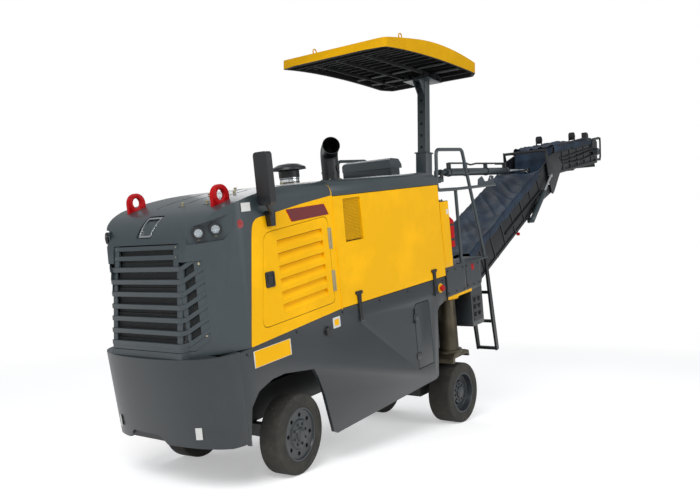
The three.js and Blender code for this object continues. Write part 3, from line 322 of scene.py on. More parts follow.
# ---------- bonnet ----------
# A thick pressed shell over the engine: a long rising top, rounded shoulders, a sloping nose and
# chamfered corners with recesses for the lamps. It is cut for the grille and the side doors.
def arc_corner(before, corner, after, radius, steps):
    """Points that round one corner of an outline."""
    to_before = (Vector(before) - Vector(corner)).normalized()
    to_after = (Vector(after) - Vector(corner)).normalized()
    half = to_before.angle(to_after) / 2
    reach = min(
        radius / math.tan(half), (Vector(before) - Vector(corner)).length * 0.49,
        (Vector(after) - Vector(corner)).length * 0.49
    )
    start, end = Vector(corner) + to_before * reach, Vector(corner) + to_after * reach
    return [quadratic(start, Vector(corner), end, i / steps) for i in range(steps + 1)]


def quadratic(start, middle, end, share):
    return start * (1 - share) ** 2 + middle * 2 * share * (1 - share) + end * share ** 2


def rounded(corners, steps=6):
    """An outline from (a, b) or (a, b, corner radius)."""
    points = []
    for i, corner in enumerate(corners):
        if len(corner) == 2:
            points.append(Vector(corner))
        else:
            before, after = corners[i - 1][:2], corners[(i + 1) % len(corners)][:2]
            points.extend(arc_corner(before, corner[:2], after, corner[2], steps))
    return points


def curved(*stretches, steps=12):
    """An outline from straight points and (start, middle, end) curves."""
    points = []
    for stretch in stretches:
        if isinstance(stretch[0], (int, float)):
            points.append(Vector(stretch))
        else:
            start, middle, end = (Vector(point) for point in stretch)
            points.extend(quadratic(start, middle, end, i / steps) for i in range(steps + 1))
    return points


ALONG = {"X": lambda a, b, c: (c, a, b), "Y": lambda a, b, c: (a, c, b), "Z": lambda a, b, c: (a, b, c)}


def prism(points, axis, low, high):
    """A straight-sided solid: (Y, Z), (X, Z) or (X, Y) points drawn along the remaining axis."""
    form = bmesh.new()
    ends = [[form.verts.new(ALONG[axis](a, b, level)) for a, b in points] for level in (low, high)]
    for ring in ends:
        form.faces.new(ring)
    for i in range(len(points)):
        j = (i + 1) % len(points)
        form.faces.new((ends[0][i], ends[0][j], ends[1][j], ends[1][i]))
    bmesh.ops.remove_doubles(form, verts=form.verts, dist=0.01)
    bmesh.ops.recalc_face_normals(form, faces=form.faces)
    return form


def block(low, high):
    (x0, y0, z0), (x1, y1, z1) = low, high
    return prism([(x0, y0), (x1, y0), (x1, y1), (x0, y1)], "Z", z0, z1)


def cylinder(radius, length, sides=20, top=None):
    """A round bar up the Z axis, or a cone when its top radius differs."""
    form = bmesh.new()
    bmesh.ops.create_cone(
        form, cap_ends=True, segments=sides, radius1=radius, radius2=radius if top is None else top,
        depth=length
    )
    form.transform(Matrix.Translation((0, 0, length / 2)))
    return form


def merged(*forms):
    """Several closed forms in one mesh."""
    whole = bmesh.new()
    for form in forms:
        mesh = bpy.data.meshes.new("part")
        form.to_mesh(mesh)
        form.free()
        whole.from_mesh(mesh)
        bpy.data.meshes.remove(mesh)
    return whole


def placed(form, matrix):
    form.transform(matrix)
    return form


def mirrored(form):
    """The form and its mirror image across the machine's middle."""
    other = form.copy()
    other.transform(Matrix.Scale(-1, 4, (1, 0, 0)))
    bmesh.ops.reverse_faces(other, faces=other.faces)
    return merged(form, other)


def flipped(form):
    form.transform(Matrix.Scale(-1, 4, (1, 0, 0)))
    bmesh.ops.reverse_faces(form, faces=form.faces)
    return form


def sided(form, side):
    """A form made for the left side, or its mirror image for the right."""
    return form if side == "left" else flipped(form)


def thing(name, form, matrix=Matrix.Identity(4)):
    """A mesh object from a form in one of the measuring frames."""
    form.transform(matrix)
    mesh = bpy.data.meshes.new(name)
    form.to_mesh(mesh)
    form.free()
    made = bpy.data.objects.new(name, mesh)
    bpy.context.scene.collection.objects.link(made)
    return made


def carved(target, *cutters, operation="DIFFERENCE"):
    """Joins or cuts forms with the target form, and gives the result as a form."""
    base = thing("base", target)
    others = []
    for cutter in cutters:
        other = thing("cutter", cutter)
        others.append(other)
        change = base.modifiers.new("cut", "BOOLEAN")
        change.operation, change.solver, change.object = operation, "MANIFOLD", other
    result = evaluated(base)
    form = bmesh.new()
    form.from_mesh(result)
    bpy.data.meshes.remove(result)
    for scrap in (base, *others):
        bpy.data.objects.remove(scrap)
    return form


def evaluated(shape):
    """The plain mesh that an object's modifiers give."""
    bpy.context.view_layer.update()
    return bpy.data.meshes.new_from_object(shape.evaluated_get(bpy.context.evaluated_depsgraph_get()))


def complete(piece, finish, body, slot, replaced=(), edge=0.0, segments=2, angle=30.0):
    """Finish, rounded edges, and the body that a piece rides on."""
    finishes = finish if isinstance(finish, (list, tuple)) else [finish]
    for each in finishes:
        piece.data.materials.append(each.material)
    piece.data.shade_smooth()
    if edge:
        bevel = piece.modifiers.new("edges", "BEVEL")
        bevel.width, bevel.segments = edge / 1000, segments
        bevel.limit_method, bevel.angle_limit = "ANGLE", math.radians(angle)
        bevel.harden_normals = True
    else:
        piece.data.set_sharp_from_angle(angle=math.radians(angle))
    if replaced:
        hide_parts(*([replaced] if isinstance(replaced, str) else replaced))
    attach(piece, body)
    return piece


def add(name, form, finish, slot, replaced=(), body="chassis", place=body_frame, **edges):
    """A finished piece from a form, in millimetres in one of the measuring frames."""
    return complete(thing(name, form, place), finish, body, slot, replaced, **edges)


HALF = 650
BONNET_REAR = 634
bonnet_profile = curved(
    (BONNET_REAR, 1168), (BONNET_REAR, 2223), ((BONNET_REAR, 2223), (200, 2222), (0, 2200)),
    ((0, 2200), (-400, 2150), (-560, 2080)), ((-560, 2080), (-735, 1990), (-752, 1800)), (-766, 1703),
    (-852, 1087), (-430, 1087)
)
bonnet_plan = rounded(
    [
        (650, 700), (650, -420, 140), (560, -640, 120), (410, -775, 60), (380, -900), (-380, -900),
        (-410, -775, 60), (-560, -640, 120), (-650, -420, 140), (-650, 700)
    ],
    8
)


def shoulder_view(top, radius):
    side = [(HALF, 900), ((HALF, top - radius), (HALF, top), (HALF - radius * 1.6, top))]
    other = [((-HALF + radius * 1.6, top), (-HALF, top), (-HALF, top - radius)), (-HALF, 900)]
    return curved(*side, *other)


def bonnet_blank():
    return carved(
        prism(bonnet_profile, "X", -HALF, HALF), prism(bonnet_plan, "Z", 900, 2300),
        prism(shoulder_view(2231, 120), "Y", -1000, 700), operation="INTERSECT"
    )


def shrunk(form, wall):
    """A blank pulled in by its wall, for the hollow inside it."""
    form.transform(Matrix.Diagonal(((HALF - wall) / HALF, 1, 1, 1)))
    form.transform(Matrix.Translation((0, wall, -wall)))
    return form


DOOR = [(-297, 1196, 60), (556, 1240, 50), (556, 1938, 60), (-190, 1876, 90)]
LAMP_TURN = Matrix.Translation((520, -600, 0)) @ Matrix.Rotation(math.radians(51), 4, "Z")


def grown(corners, amount):
    middle = sum((Vector(corner[:2]) for corner in corners), Vector((0, 0))) / len(corners)
    return [
        (a + math.copysign(amount, a - middle[0]), b + math.copysign(amount, b - middle[1]), *rest)
        for a, b, *rest in corners
    ]


def lamp_recess():
    view = rounded(
        [
            (-150, 1864, 8), (100, 1872, 8), (160, 1930, 8), (182, 2050, 8), (70, 2026, 8),
            (-150, 1974, 8)
        ],
        3
    )
    return placed(prism(view, "Y", -400, -8), LAMP_TURN)


emblem_form = carved(
    prism(
        rounded([(-118, 1922, 12), (50, 1922, 12), (66, 2072, 16), (-110, 2072, 16)]), "Y", -1000, -500
    ),
    shrunk(bonnet_blank(), 9)
)
grille_form = prism(
    rounded(
        [
            (-365, 1749, 4), (-365, 1877, 12), (365, 1877, 12), (365, 1749, 4), (520, 1749, 8),
            (520, 1189, 8), (440, 1128, 8), (-440, 1128, 8), (-520, 1189, 8), (-520, 1749, 8)
        ],
        3
    ),
    "Y", -1000, -600
)
side_cuts = prism(rounded(grown(DOOR, 4)), "X", 300, HALF + 20)
eye_slot = block((457, -500, 1900), (493, -322, 2300))
mouth = block((-620, -440, 900), (620, 700, 1120))
bonnet_form = carved(
    bonnet_blank(), shrunk(bonnet_blank(), 30), mouth, block((-620, 520, 900), (620, 700, 2120)),
    grille_form, mirrored(side_cuts), mirrored(eye_slot), mirrored(lamp_recess()), emblem_form
)
bonnet = thing("bonnet_shell", bonnet_form, body_frame)
complete(bonnet, grey_paint, "chassis", "grey", "bonnet", edge=3.5, segments=3, angle=28)


# ---------- yellow side frames and louvred doors of the bonnet ----------
# Each side of the bonnet is a flat yellow frame round a hinged yellow door. Six long pockets are
# pressed into the door for air, and it hangs on two zinc-plated strips and shuts with a paddle latch.
SKIN = 3


def side_skin():
    view = rounded(
        [
            (-428, 1091, 10), (637, 1172, 4), (637, 2098, 4), (249, 2057, 200), (-100, 2010, 120),
            (-290, 1990, 160), (-318, 1830, 60)
        ],
        8
    )
    skin = prism(view, "X", HALF - 1, HALF + SKIN)
    return carved(skin, prism(rounded(grown(DOOR, 4)), "X", HALF - 10, HALF + 10))


LOUVRE_COUNT, LOUVRE_PITCH = 6, 96
LOUVRE_FRONT, LOUVRE_REAR = -58, 478
LOUVRE_RISE = math.atan2(37, 533)


LOUVRE_LENGTH = LOUVRE_REAR - LOUVRE_FRONT
HINGE_LEVELS, HINGE_HEIGHT, HINGE_Y = (1328, 1672), 170, 567


def louvre_place(level):
    return Matrix.Translation((0, LOUVRE_FRONT, level)) @ Matrix.Rotation(LOUVRE_RISE, 4, "X")


def pocket(level):
    section = [(HALF + 6, -62), (HALF - 1, -56), (HALF - 25, 0), (HALF + 6, 0)]
    return placed(prism(section, "Y", 0, LOUVRE_LENGTH), louvre_place(level))


# A black strip at the top of each pocket: painted shade in the slit under the pocket's lip.
def slit_shade(level):
    return placed(block((HALF - 29, 6, -7), (HALF - 22, LOUVRE_LENGTH - 6, -1)), louvre_place(level))


def hinge_straps(front, rear):
    """The flat straps of both hinges between two places along the side."""
    return [
        block((HALF + SKIN, front, z), (HALF + SKIN + 4, rear, z + HINGE_HEIGHT)) for z in HINGE_LEVELS
    ]


louvre_levels = [1811 - i * LOUVRE_PITCH for i in range(LOUVRE_COUNT)]
latch_place = Matrix.Translation((HALF + SKIN - 1, -173, 1538))
for side, body in (("left", "left_bonnet_door"), ("right", "right_bonnet_door")):
    add(f"{side}_side_frame", sided(side_skin(), side), yellow_paint, "grey", edge=1.0)
    leaf = carved(
        prism(rounded(DOOR, 8), "X", HALF - 30, HALF + SKIN), *[pocket(z) for z in louvre_levels]
    )
    add(f"{side}_louvred_door", sided(leaf, side), yellow_paint, "yellow", body, edge=2.0, body=body)
    # The black strips in the pockets are painted shade.
    slit_shade_forms = merged(*[slit_shade(z) for z in louvre_levels])
    add(f"{side}_louvre_slits", sided(slit_shade_forms, side), shade_and_black, "yellow", body=body)
    barrels = [
        placed(cylinder(5, HINGE_HEIGHT, 10), Matrix.Translation((HALF + SKIN, HINGE_Y, z)))
        for z in HINGE_LEVELS
    ]
    leaves = merged(*hinge_straps(HINGE_Y - 22, HINGE_Y - 5), *barrels)
    add(f"{side}_hinge_leaves", sided(leaves, side), zinc, "yellow", edge=0.8, body=body)
    strips = merged(*hinge_straps(HINGE_Y + 9, HINGE_Y + 21))
    add(f"{side}_hinge_strips", sided(strips, side), zinc, "grey", edge=0.8)
    rim = prism(rounded([(-48, -58, 16), (48, -58, 16), (48, 58, 16), (-48, 58, 16)]), "X", 0, 9)
    dish = prism(rounded([(-34, -44, 10), (34, -44, 10), (34, 44, 10), (-34, 44, 10)]), "X", 4, 12)
    latch = carved(placed(rim, latch_place), placed(dish, latch_place))
    paddle = placed(
        prism(rounded([(-24, -20, 6), (24, -20, 6), (24, 38, 6), (-24, 38, 6)]), "X", 2, 8), latch_place
    )
    add(
        f"{side}_paddle_latch", sided(merged(latch, paddle), side), black_paint, "black", edge=1.2,
        body=body
    )


# ---------- lamps, reflectors and catches on the bonnet ----------
# Each chamfered corner holds a pan with two round work lamps, six diodes in a finned housing.
# Bolts and studs are small forms set on listed spots.
def studs_tree():
    tree = bpy.data.node_groups.new("studs", "GeometryNodeTree")
    for title, kind in (("Geometry", "Geometry"), ("Stud", "Object"), ("Material", "Material")):
        tree.interface.new_socket(title, in_out="INPUT", socket_type="NodeSocket" + kind)
    tree.interface.new_socket("Geometry", in_out="OUTPUT", socket_type="NodeSocketGeometry")
    nodes, links = tree.nodes, tree.links
    given, out = nodes.new("NodeGroupInput"), nodes.new("NodeGroupOutput")
    stud, facing = nodes.new("GeometryNodeObjectInfo"), nodes.new("GeometryNodeInputNamedAttribute")
    facing.data_type = "FLOAT_VECTOR"
    facing.inputs["Name"].default_value = "facing"
    turn, each = nodes.new("FunctionNodeAlignRotationToVector"), nodes.new("GeometryNodeInstanceOnPoints")
    turn.axis = "Z"
    real, finish = nodes.new("GeometryNodeRealizeInstances"), nodes.new("GeometryNodeSetMaterial")
    links.new(given.outputs["Stud"], stud.inputs["Object"])
    links.new(facing.outputs["Attribute"], turn.inputs["Vector"])
    links.new(given.outputs["Geometry"], each.inputs["Points"])
    links.new(stud.outputs["Geometry"], each.inputs["Instance"])
    links.new(turn.outputs[0], each.inputs["Rotation"])
    links.new(each.outputs[0], real.inputs[0])
    links.new(real.outputs[0], finish.inputs["Geometry"])
    links.new(given.outputs["Material"], finish.inputs["Material"])
    links.new(finish.outputs[0], out.inputs[0])
    return tree


STUDS = studs_tree()
STUDS_INPUTS = {item.name: item.identifier for item in STUDS.interface.items_tree if item.in_out == "INPUT"}


def studded(name, stud, spots, facing, matrix, finish):
    """Small forms, in millimetres and up the Z axis, set on spots and turned to where they face."""
    turn = matrix.to_3x3().normalized()
    facings = facing if isinstance(facing, list) else [facing] * len(spots)
    mesh = bpy.data.meshes.new(name)
    mesh.from_pydata([matrix @ Vector(spot) for spot in spots], [], [])
    ways = mesh.attributes.new("facing", "FLOAT_VECTOR", "POINT")
    for i, way in enumerate(facings):
        ways.data[i].vector = (turn @ Vector(way)).normalized()
    field = bpy.data.objects.new(name, mesh)
    bpy.context.scene.collection.objects.link(field)
    pattern = thing("stud", stud, Matrix.Scale(0.001, 4))
    change = field.modifiers.new("studs", "NODES")
    change.node_group = STUDS
    change[STUDS_INPUTS["Stud"]] = pattern
    change[STUDS_INPUTS["Material"]] = finish.material
    result = evaluated(field)
    result.materials.clear()
    bpy.data.objects.remove(field)
    bpy.data.objects.remove(pattern)
    made = bpy.data.objects.new(name, result)
    bpy.context.scene.collection.objects.link(made)
    return made


def add_studs(name, stud, spots, facing, finish, slot, body="chassis", place=body_frame):
    return complete(studded(name, stud, spots, facing, place, finish), finish, body, slot)


def bolt_head(radius=8, height=5):
    """A hexagon head on its washer."""
    return merged(
        cylinder(radius * 1.45, 2, 16),
        placed(cylinder(radius, height, 6, radius * 0.94), Matrix.Translation((0, 0, 1.5)))
    )


def dome(radius, height, sides=12):
    """A round head like a rivet's or a lens."""
    rings = [
        (radius * math.cos(math.radians(a)), height * math.sin(math.radians(a)))
        for a in (0, 25, 50, 72)
    ]
    return lathe([(0, -1), (radius, -1), *rings, (0, height)], sides)


def lathe(profile, sides=64):
    """A solid of revolution about the Z axis from a closed outline of (radius, height)."""
    form = bmesh.new()
    rings = []
    for i in range(sides):
        angle = 2 * math.pi * i / sides
        rings.append(
            [form.verts.new((r * math.cos(angle), r * math.sin(angle), z)) for r, z in profile]
        )
    for i, ring in enumerate(rings):
        following = rings[(i + 1) % sides]
        for j in range(len(profile)):
            k = (j + 1) % len(profile)
            form.faces.new((ring[j], following[j], following[k], ring[k]))
    bmesh.ops.remove_doubles(form, verts=form.verts, dist=0.004)
    bmesh.ops.recalc_face_normals(form, faces=form.faces)
    return form


def at(x=0, y=0, z=0, axis=None, degrees=0):
    """A place, and a turn about one axis there."""
    move = Matrix.Translation((x, y, z))
    return move @ Matrix.Rotation(math.radians(degrees), 4, axis) if axis else move


pan_view = rounded(
    [(-154, 1860, 8), (102, 1868, 8), (164, 1928, 8), (186, 2054, 8), (70, 2030, 8), (-154, 1978, 8)], 3
)
pans = placed(prism(pan_view, "Y", -9, -3), LAMP_TURN)
add("lamp_pans", mirrored(pans), grey_paint, "grey")

white_label = plain("white_label", linear("D9DAD6"), 0.5, 60.0, 0.05, 0.1)
lens_white = plain("lens_white", linear("9DA6AB"), 0.15, 40.0, 0.05, 0.1, Coat_Weight=1.0)
LAMP_RADIUS = 46
FORWARD = Matrix.Rotation(math.radians(90), 4, "X")
lamp_housing = [
    (0, 0), (30, 0), (30, 8), (38, 8), (38, 11), (32, 11), (32, 15), (39, 15), (39, 18), (33, 18),
    (33, 22), (LAMP_RADIUS, 24), (LAMP_RADIUS, 44), (32, 44), (30, 34), (0, 34)
]
housings, lenses, brackets = [], [], []
for along_chamfer, level in ((-66, 1937), (52, 1953)):
    spot = LAMP_TURN @ at(along_chamfer, -8, level) @ FORWARD
    housings.append(placed(lathe(lamp_housing, 40), spot))
    lenses.append(placed(lathe([(0, 34.5), (29.5, 34.5), (29.5, 36), (0, 36)], 32), spot))
    for i in range(6):
        angle = math.radians(60 * i + 30)
        lenses.append(placed(dome(8, 5), spot @ at(19 * math.cos(angle), 19 * math.sin(angle), 36)))
    brackets.append(placed(block((-9, -50, 0), (9, -34, 26)), spot))
add("lamp_housings", mirrored(merged(*housings)), black_paint, "black", edge=0.8)
add("lamp_lenses", mirrored(merged(*lenses)), lens_white, "grey")
add("lamp_brackets", mirrored(merged(*brackets)), zinc, "grey", edge=0.8)

reflector_red = plain("reflector_red", linear("900006"), 0.25, 300.0, 0.2, 0.2, Coat_Weight=1.0)
reflector = placed(
    lathe([(0, -30), (33, -30), (33, 3), (29, 6), (0, 7)], 32),
    at(644, -414, 1968) @ at(axis="Z", degrees=70) @ FORWARD
)
add("side_reflectors", mirrored(reflector), reflector_red, "red", edge=1.5)


def top_height(y):
    """Height of the bonnet's top along its middle."""
    tops = sorted((point.x, point.y) for point in bonnet_profile if point.y > 2000)
    for (y0, z0), (y1, z1) in zip(tops, tops[1:]):
        if y0 <= y <= y1 and y1 > y0:
            return z0 + (z1 - z0) * (y - y0) / (y1 - y0)
    return 2222.0


# Three long seams part the lids in the top, which are held shut by two rows of small knobs.
seam_line = [-440, -300, -150, 0, 200, 480]
seams = []
for x in (-190, 60, 330):
    upper = [(y, top_height(y) + 1.5) for y in seam_line]
    lower = [(y, top_height(y) - 4) for y in reversed(seam_line)]
    seams.append(prism([*upper, *lower], "X", x - 4, x + 4))
add("bonnet_lid_seams", merged(*seams), shade_and_black, "grey")
knob_outline = [(0, -4), (13, -4), (13, 3), (8, 5), (8, 10), (14, 13), (14, 20), (0, 24)]
knobs = [
    placed(lathe(knob_outline, 20), at(x, y, top_height(y))) for x in (60, 330)
    for y in (-400, -120, 160, 420)
]
add("bonnet_catches", merged(*knobs), zinc, "grey", edge=0.8)


# ---------- lifting eyes ----------
# Thick flame-cut plates, painted red, that come up through slots in the bonnet.
def refined(node, edge=2.0, segments=2, angle=30.0):
    """A CAD node's shape with its flats joined and its edges rounded, in place of the node."""
    form = bmesh.new()
    form.from_mesh(frame["nodes"][node].data)
    bmesh.ops.remove_doubles(form, verts=form.verts, dist=1e-5)
    bmesh.ops.dissolve_limit(form, angle_limit=math.radians(1.2), verts=form.verts, edges=form.edges)
    body = next(name for name, nodes in frame["record"]["behaviour"]["bodies"].items() if node in nodes)
    slot = next(entry["material_slot"] for entry in frame["record"]["subparts"] if entry["node"] == node)
    return complete(thing(f"{node}_shape", form), BY_SLOT[slot], body, slot, node, edge, segments, angle)


for side in ("left", "right"):
    refined(f"{side}_lifting_eye", edge=1.5)


# ---------- grille ----------
# Rounded slats run across the nose and turn back along both chamfers, over a plate frame with
# a narrow two-bar frame above. A black woven screen stands a little behind.
GRILLE_HALF, FIRST_SLAT, SLAT_PITCH, SLAT_COUNT, SLAT_HEIGHT = 519.7, 1157, 88, 7, 34


def nose_front(level):
    """How far forward the nose stands at a height."""
    if level < 1703:
        return -852 + (level - 1087) * 86 / 616
    return -766 + (level - 1703) * 14 / 97


def chamfer_front(x):
    return -775 + (x - 410) * 0.9


def wrapped(level, inset, reach=GRILLE_HALF):
    """A plan line across the nose and back along both chamfers, set in from their faces."""
    bend = [(404, -774 + inset, 10), (386, nose_front(level) + inset, 18)]
    half = [(reach, chamfer_front(reach) + inset), *bend]
    return rounded([*half, *[(-x, *rest) for x, *rest in reversed(half)]], 4)


def wrapped_band(level, height, inset, depth, reach=GRILLE_HALF):
    outer, inner = wrapped(level, inset, reach), wrapped(level, inset + depth, reach)
    return prism([*outer, *reversed(inner)], "Z", level, level + height)


def leaning(low, high, inset, depth):
    """A strip down the nose in (Y, Z), in from its face."""
    return [
        (nose_front(low) + inset, low), (nose_front(low) + inset + depth, low),
        (nose_front(high) + inset + depth, high), (nose_front(high) + inset, high)
    ]


def climbing(form, foot=0):
    """Lifts what is above a foot line along the chamfers, by one slat pitch at their rear ends."""
    for vertex in form.verts:
        if vertex.co.z > foot:
            vertex.co.z += SLAT_PITCH * min(1, max(0, abs(vertex.co.x) - 400) / 112)
    return form


slat_levels = [FIRST_SLAT + i * SLAT_PITCH for i in range(SLAT_COUNT)]
slats = []
for level in slat_levels:
    # The top slat runs out under the opening's upper edge.
    within = block((-600, -1000, 1130), (600, -500, 1748.5))
    slats.append(
        carved(climbing(wrapped_band(level, SLAT_HEIGHT, 2, 24)), within, operation="INTERSECT")
    )
add("grille_slats", merged(*slats), grey_paint, "grey", "grille", edge=9, segments=3)
top_level = slat_levels[-1] + SLAT_HEIGHT
frame_parts = [prism(leaning(FIRST_SLAT, top_level, 14, 12), "X", x - 24, x + 24) for x in (-362, 362)]
frame_parts += [prism(leaning(top_level - 20, 1870, 8, 16), "X", x - 26, x + 26) for x in (-333, 333)]
frame_parts += [
    prism(leaning(low, high, 4, 26), "X", -357, 357) for low, high in ((1768, 1800), (1838, 1868))
]
frame_parts += [
    prism(
        [
            (s * 519, chamfer_front(519) + 10), (s * 468, chamfer_front(468) + 10),
            (s * 468, chamfer_front(468) + 22), (s * 519, chamfer_front(519) + 22)
        ],
        "Z", FIRST_SLAT + 36, 1748
    )
    for s in (-1, 1)
]
frame_parts += [
    prism(
        [(s * 410, -760), (s * 384, -778), (s * 384, -766), (s * 410, -748)], "Z", FIRST_SLAT, top_level
    )
    for s in (-1, 1)
]
# The sill closes the foot of the opening and climbs with the lowest slat.
sill = climbing(wrapped_band(1129, 30, 8, 12), 1140)
opening_outline = [(-518, 1190), (-439, 1129.5), (439, 1129.5), (518, 1190), (518, 1748), (-518, 1748)]
frame_parts.append(carved(sill, prism(opening_outline, "Y", -1000, -500), operation="INTERSECT"))
add("grille_frame", merged(*frame_parts), grey_paint, "grey", edge=3)
bolt_spots = [(s * 333, nose_front(z) + 7, z) for s in (-1, 1) for z in (1784, 1853)]
add_studs("grille_bolts", dome(7, 4), bolt_spots, (0, -1, 0), zinc, "grey")
end_spots = [(s * 494, chamfer_front(494) + 9, z) for s in (-1, 1) for z in (1226, 1728)]
end_ways = [(math.copysign(0.67, x), -0.74, 0) for x, y, z in end_spots]
add_studs("grille_end_bolts", dome(9, 5), end_spots, end_ways, zinc, "grey")


def woven_screen():
    """Black woven wire with square holes: lighter wire, and near-black holes that are painted shade of the space
    behind.
    """
    finish = Finish("woven_screen", linear("101214"), 0.6)
    x, y, z = finish.parts(finish.place())
    wire = ((x + z) * 420.0).math("SINE") * ((x - z) * 420.0).math("SINE")
    # The holes' near-black is painted shade; the wire is the screen's own dark grey.
    finish.set("Base Color", finish.blend(wire.above(-0.1, 0.4), linear("050606"), linear("26292A")))
    finish.bump(wire, 0.5, 0.002)
    return finish


screen_bands = [wrapped_band(level, 60, 40, 5, 500) for level in range(1150, 1750, 60)]
screen_bands.append(prism(leaning(1750, 1872, 34, 5), "X", -350, 350))
add("grille_screen", merged(*screen_bands), woven_screen(), "grey")
emblem_frame = carved(
    prism(
        rounded([(-88, 1930, 10), (44, 1930, 10), (58, 2064, 14), (-102, 2064, 14)]), "Y", -1000, -400
    ),
    prism(rounded([(-76, 1942, 8), (32, 1942, 8), (45, 2053, 10), (-89, 2053, 10)]), "Y", -1100, -300)
)
emblem_frame = carved(
    carved(emblem_frame, bonnet_blank(), operation="INTERSECT"), shrunk(bonnet_blank(), 12)
)
add("emblem_frame", emblem_frame, chrome, "grey", edge=1)


# ---------- front apron ----------
# A thick steel apron, bent round both corners and leaning in towards its foot, with a ledge
# under the grille and a towing notch in its lower edge.
APRON_TOP, APRON_FOOT, APRON_SEAM = 1086.7, 430, -545


def apron_plan(inset):
    half = 650 - inset
    right = curved(
        (half, APRON_SEAM), ((half, -590), (half, -742 + inset), (498 - inset, -815 + inset)),
        ((498 - inset, -815 + inset), (330, -895 + inset), (0, -895 + inset)), steps=14
    )
    return [*right, *[Vector((-x, y)) for x, y in reversed(right[:-1])]]


apron = carved(
    prism(apron_plan(0), "Z", APRON_FOOT, APRON_TOP), prism(apron_plan(30), "Z", 300, APRON_TOP - 26),
    prism([(-330, 300), (-330, 452), (-250, 520), (60, 520), (140, 452), (140, 300)], "Y", -1000, -700),
    prism([(-1000, 300), (-1000, 470), (-560, 408), (-500, 300)], "X", -700, 700),
    block((-600, -700, 900), (600, -500, 1200))
)
for vertex in apron.verts:
    if vertex.co.y < APRON_SEAM - 1:
        vertex.co.y += (APRON_TOP - vertex.co.z) * 0.07
add("apron_shell", apron, dark_paint, "dark_grey", "front_apron", edge=4, segments=3)
labels = [
    placed(
        block((-24, -1.5, -42), (24, 0.5, 42)), at(s * 438, -810, 560) @ at(axis="Z", degrees=s * 27)
    )
    for s in (-1, 1)
]
add("apron_labels", merged(*labels), white_label, "dark_grey")
tow_plate = block((-300, -815, 462), (120, -800, 640))
add("tow_plate", tow_plate, black_paint, "dark_grey", edge=2)


# ---------- side plates and main frame ----------
# Heavy plates enclose the undercarriage, with a rounded arch for each front wheel. On the left
# a low door shuts with a black slotted handle.
for node in (
    "left_side_plate", "right_side_plate", "main_frame", "access_door", "slew_bracket", "front_axle",
    "engine"
):
    refined(node, edge=2.5)
handle = merged(
    placed(block((0, -8, -62), (8, 8, 62)), at(650, 1719, 893) @ at(axis="X", degrees=-6)),
    placed(block((0, -11, -16), (13, 11, 12)), at(650, 1714, 842) @ at(axis="X", degrees=-6))
)
add("access_handle", handle, black_paint, "dark_grey", edge=2, body="access_door")
plate_bolts = [
    (650, y, z)
    for y, z in ((-480, 1050), (60, 1098), (640, 1140), (1180, 1142), (1640, 1142), (2280, 1142))
]
add_studs("left_plate_bolts", bolt_head(8), plate_bolts, (1, 0, 0), black_paint, "dark_grey")
add_studs(
    "right_plate_bolts", bolt_head(8), [(-x, y, z) for x, y, z in plate_bolts], (-1, 0, 0), black_paint,
    "dark_grey"
)
cap = placed(
    lathe([(0, 0), (42, 0), (42, 8), (34, 9), (34, 26), (28, 30), (0, 30)], 32),
    at(648, 419, 1030, "Y", 90)
)
add("fuel_cap", cap, black_paint, "black", edge=1.5)

# ---------- middle body, side covers and their latches ----------
# Grey roof over the engine's rear half. Each long yellow side cover hangs from the roof, has a
# screen of punched diamonds at its front and is held down by two rubber T-latches.
refined("middle_body", edge=6, segments=3)


def punched_screen(side):
    """A plate of diamond holes: one ring for each hole, set edge to edge."""
    half_wide, half_high, wall = 9, 12, 2.4
    outer = [(half_wide, 0), (0, half_high), (-half_wide, 0), (0, -half_high)]
    inner = [(y * (1 - wall * 1.25 / half_wide), z * (1 - wall * 1.25 / half_wide)) for y, z in outer]
    ring = bmesh.new()
    loops = [[ring.verts.new((y, z, h)) for y, z in loop] for h in (0, 2) for loop in (outer, inner)]
    for i in range(4):
        j = (i + 1) % 4
        for first, second in ((0, 1), (3, 2), (1, 3), (2, 0)):
            ring.faces.new((loops[first][i], loops[first][j], loops[second][j], loops[second][i]))
    bmesh.ops.recalc_face_normals(ring, faces=ring.faces)
    ring.transform(Matrix.Rotation(math.radians(90), 4, "Z"))
    spots = []
    for row in range(29):
        for column in range(14):
            y = 786 + half_wide + column * 2 * half_wide + (half_wide if row % 2 else 0)
            spots.append((side * 640, y, 1709 + half_high + row * half_high))
    return studded("screen", ring, spots, (side, 0, 0), body_frame, yellow_paint)


SCREEN_VIEW = [(779, 1700, 10), (1033, 1703, 10), (1026, 2062, 10), (784, 2059, 10)]
cover_view = [(640, 1172, 6), (640, 2087, 6), (2339, 2087, 8), (2352, 1180, 8)]
for side, sign, body in (("left", 1, "left_side_cover"), ("right", -1, "right_side_cover")):
    leaf = carved(prism(rounded(cover_view), "X", 620, 650), prism(rounded(SCREEN_VIEW), "X", 600, 700))
    add(
        f"{side}_cover_shell", sided(leaf, side), yellow_paint, "yellow", body, edge=4, segments=3,
        body=body
    )
    screen = punched_screen(sign)
    screen.name = f"{side}_cover_screen"
    complete(screen, yellow_paint, body, "yellow")
    # A near-black plate behind the punched diamonds: painted shade of the space behind the screen.
    hole_shade = block((612, 770, 1690), (616, 1040, 2070))
    add(f"{side}_screen_backing", sided(hole_shade, side), shade_and_black, "yellow", body=body)
    latches = []
    for y in (880, 2123):
        latches.append(placed(
            prism(
                rounded([
                    (-46, 238, 8), (-46, 262, 8), (46, 262, 8), (46, 238, 8), (24, 230, 8), (17, 60, 3),
                    (20, 40, 8), (20, 0, 8), (-20, 0, 8), (-20, 40, 8), (-17, 60, 3), (-24, 230, 8)
                ]),
                "X", 0, 13
            ),
            at(651, y, 1014)
        ))
        latches.append(placed(cylinder(9, 12, 16), at(660, y, 1034, "Y", 90)))
        latches.append(block((648, y - 30, 1030), (652, y + 30, 1076)))
    add(f"{side}_rubber_latches", sided(merged(*latches), side), rubber, "black", edge=2)

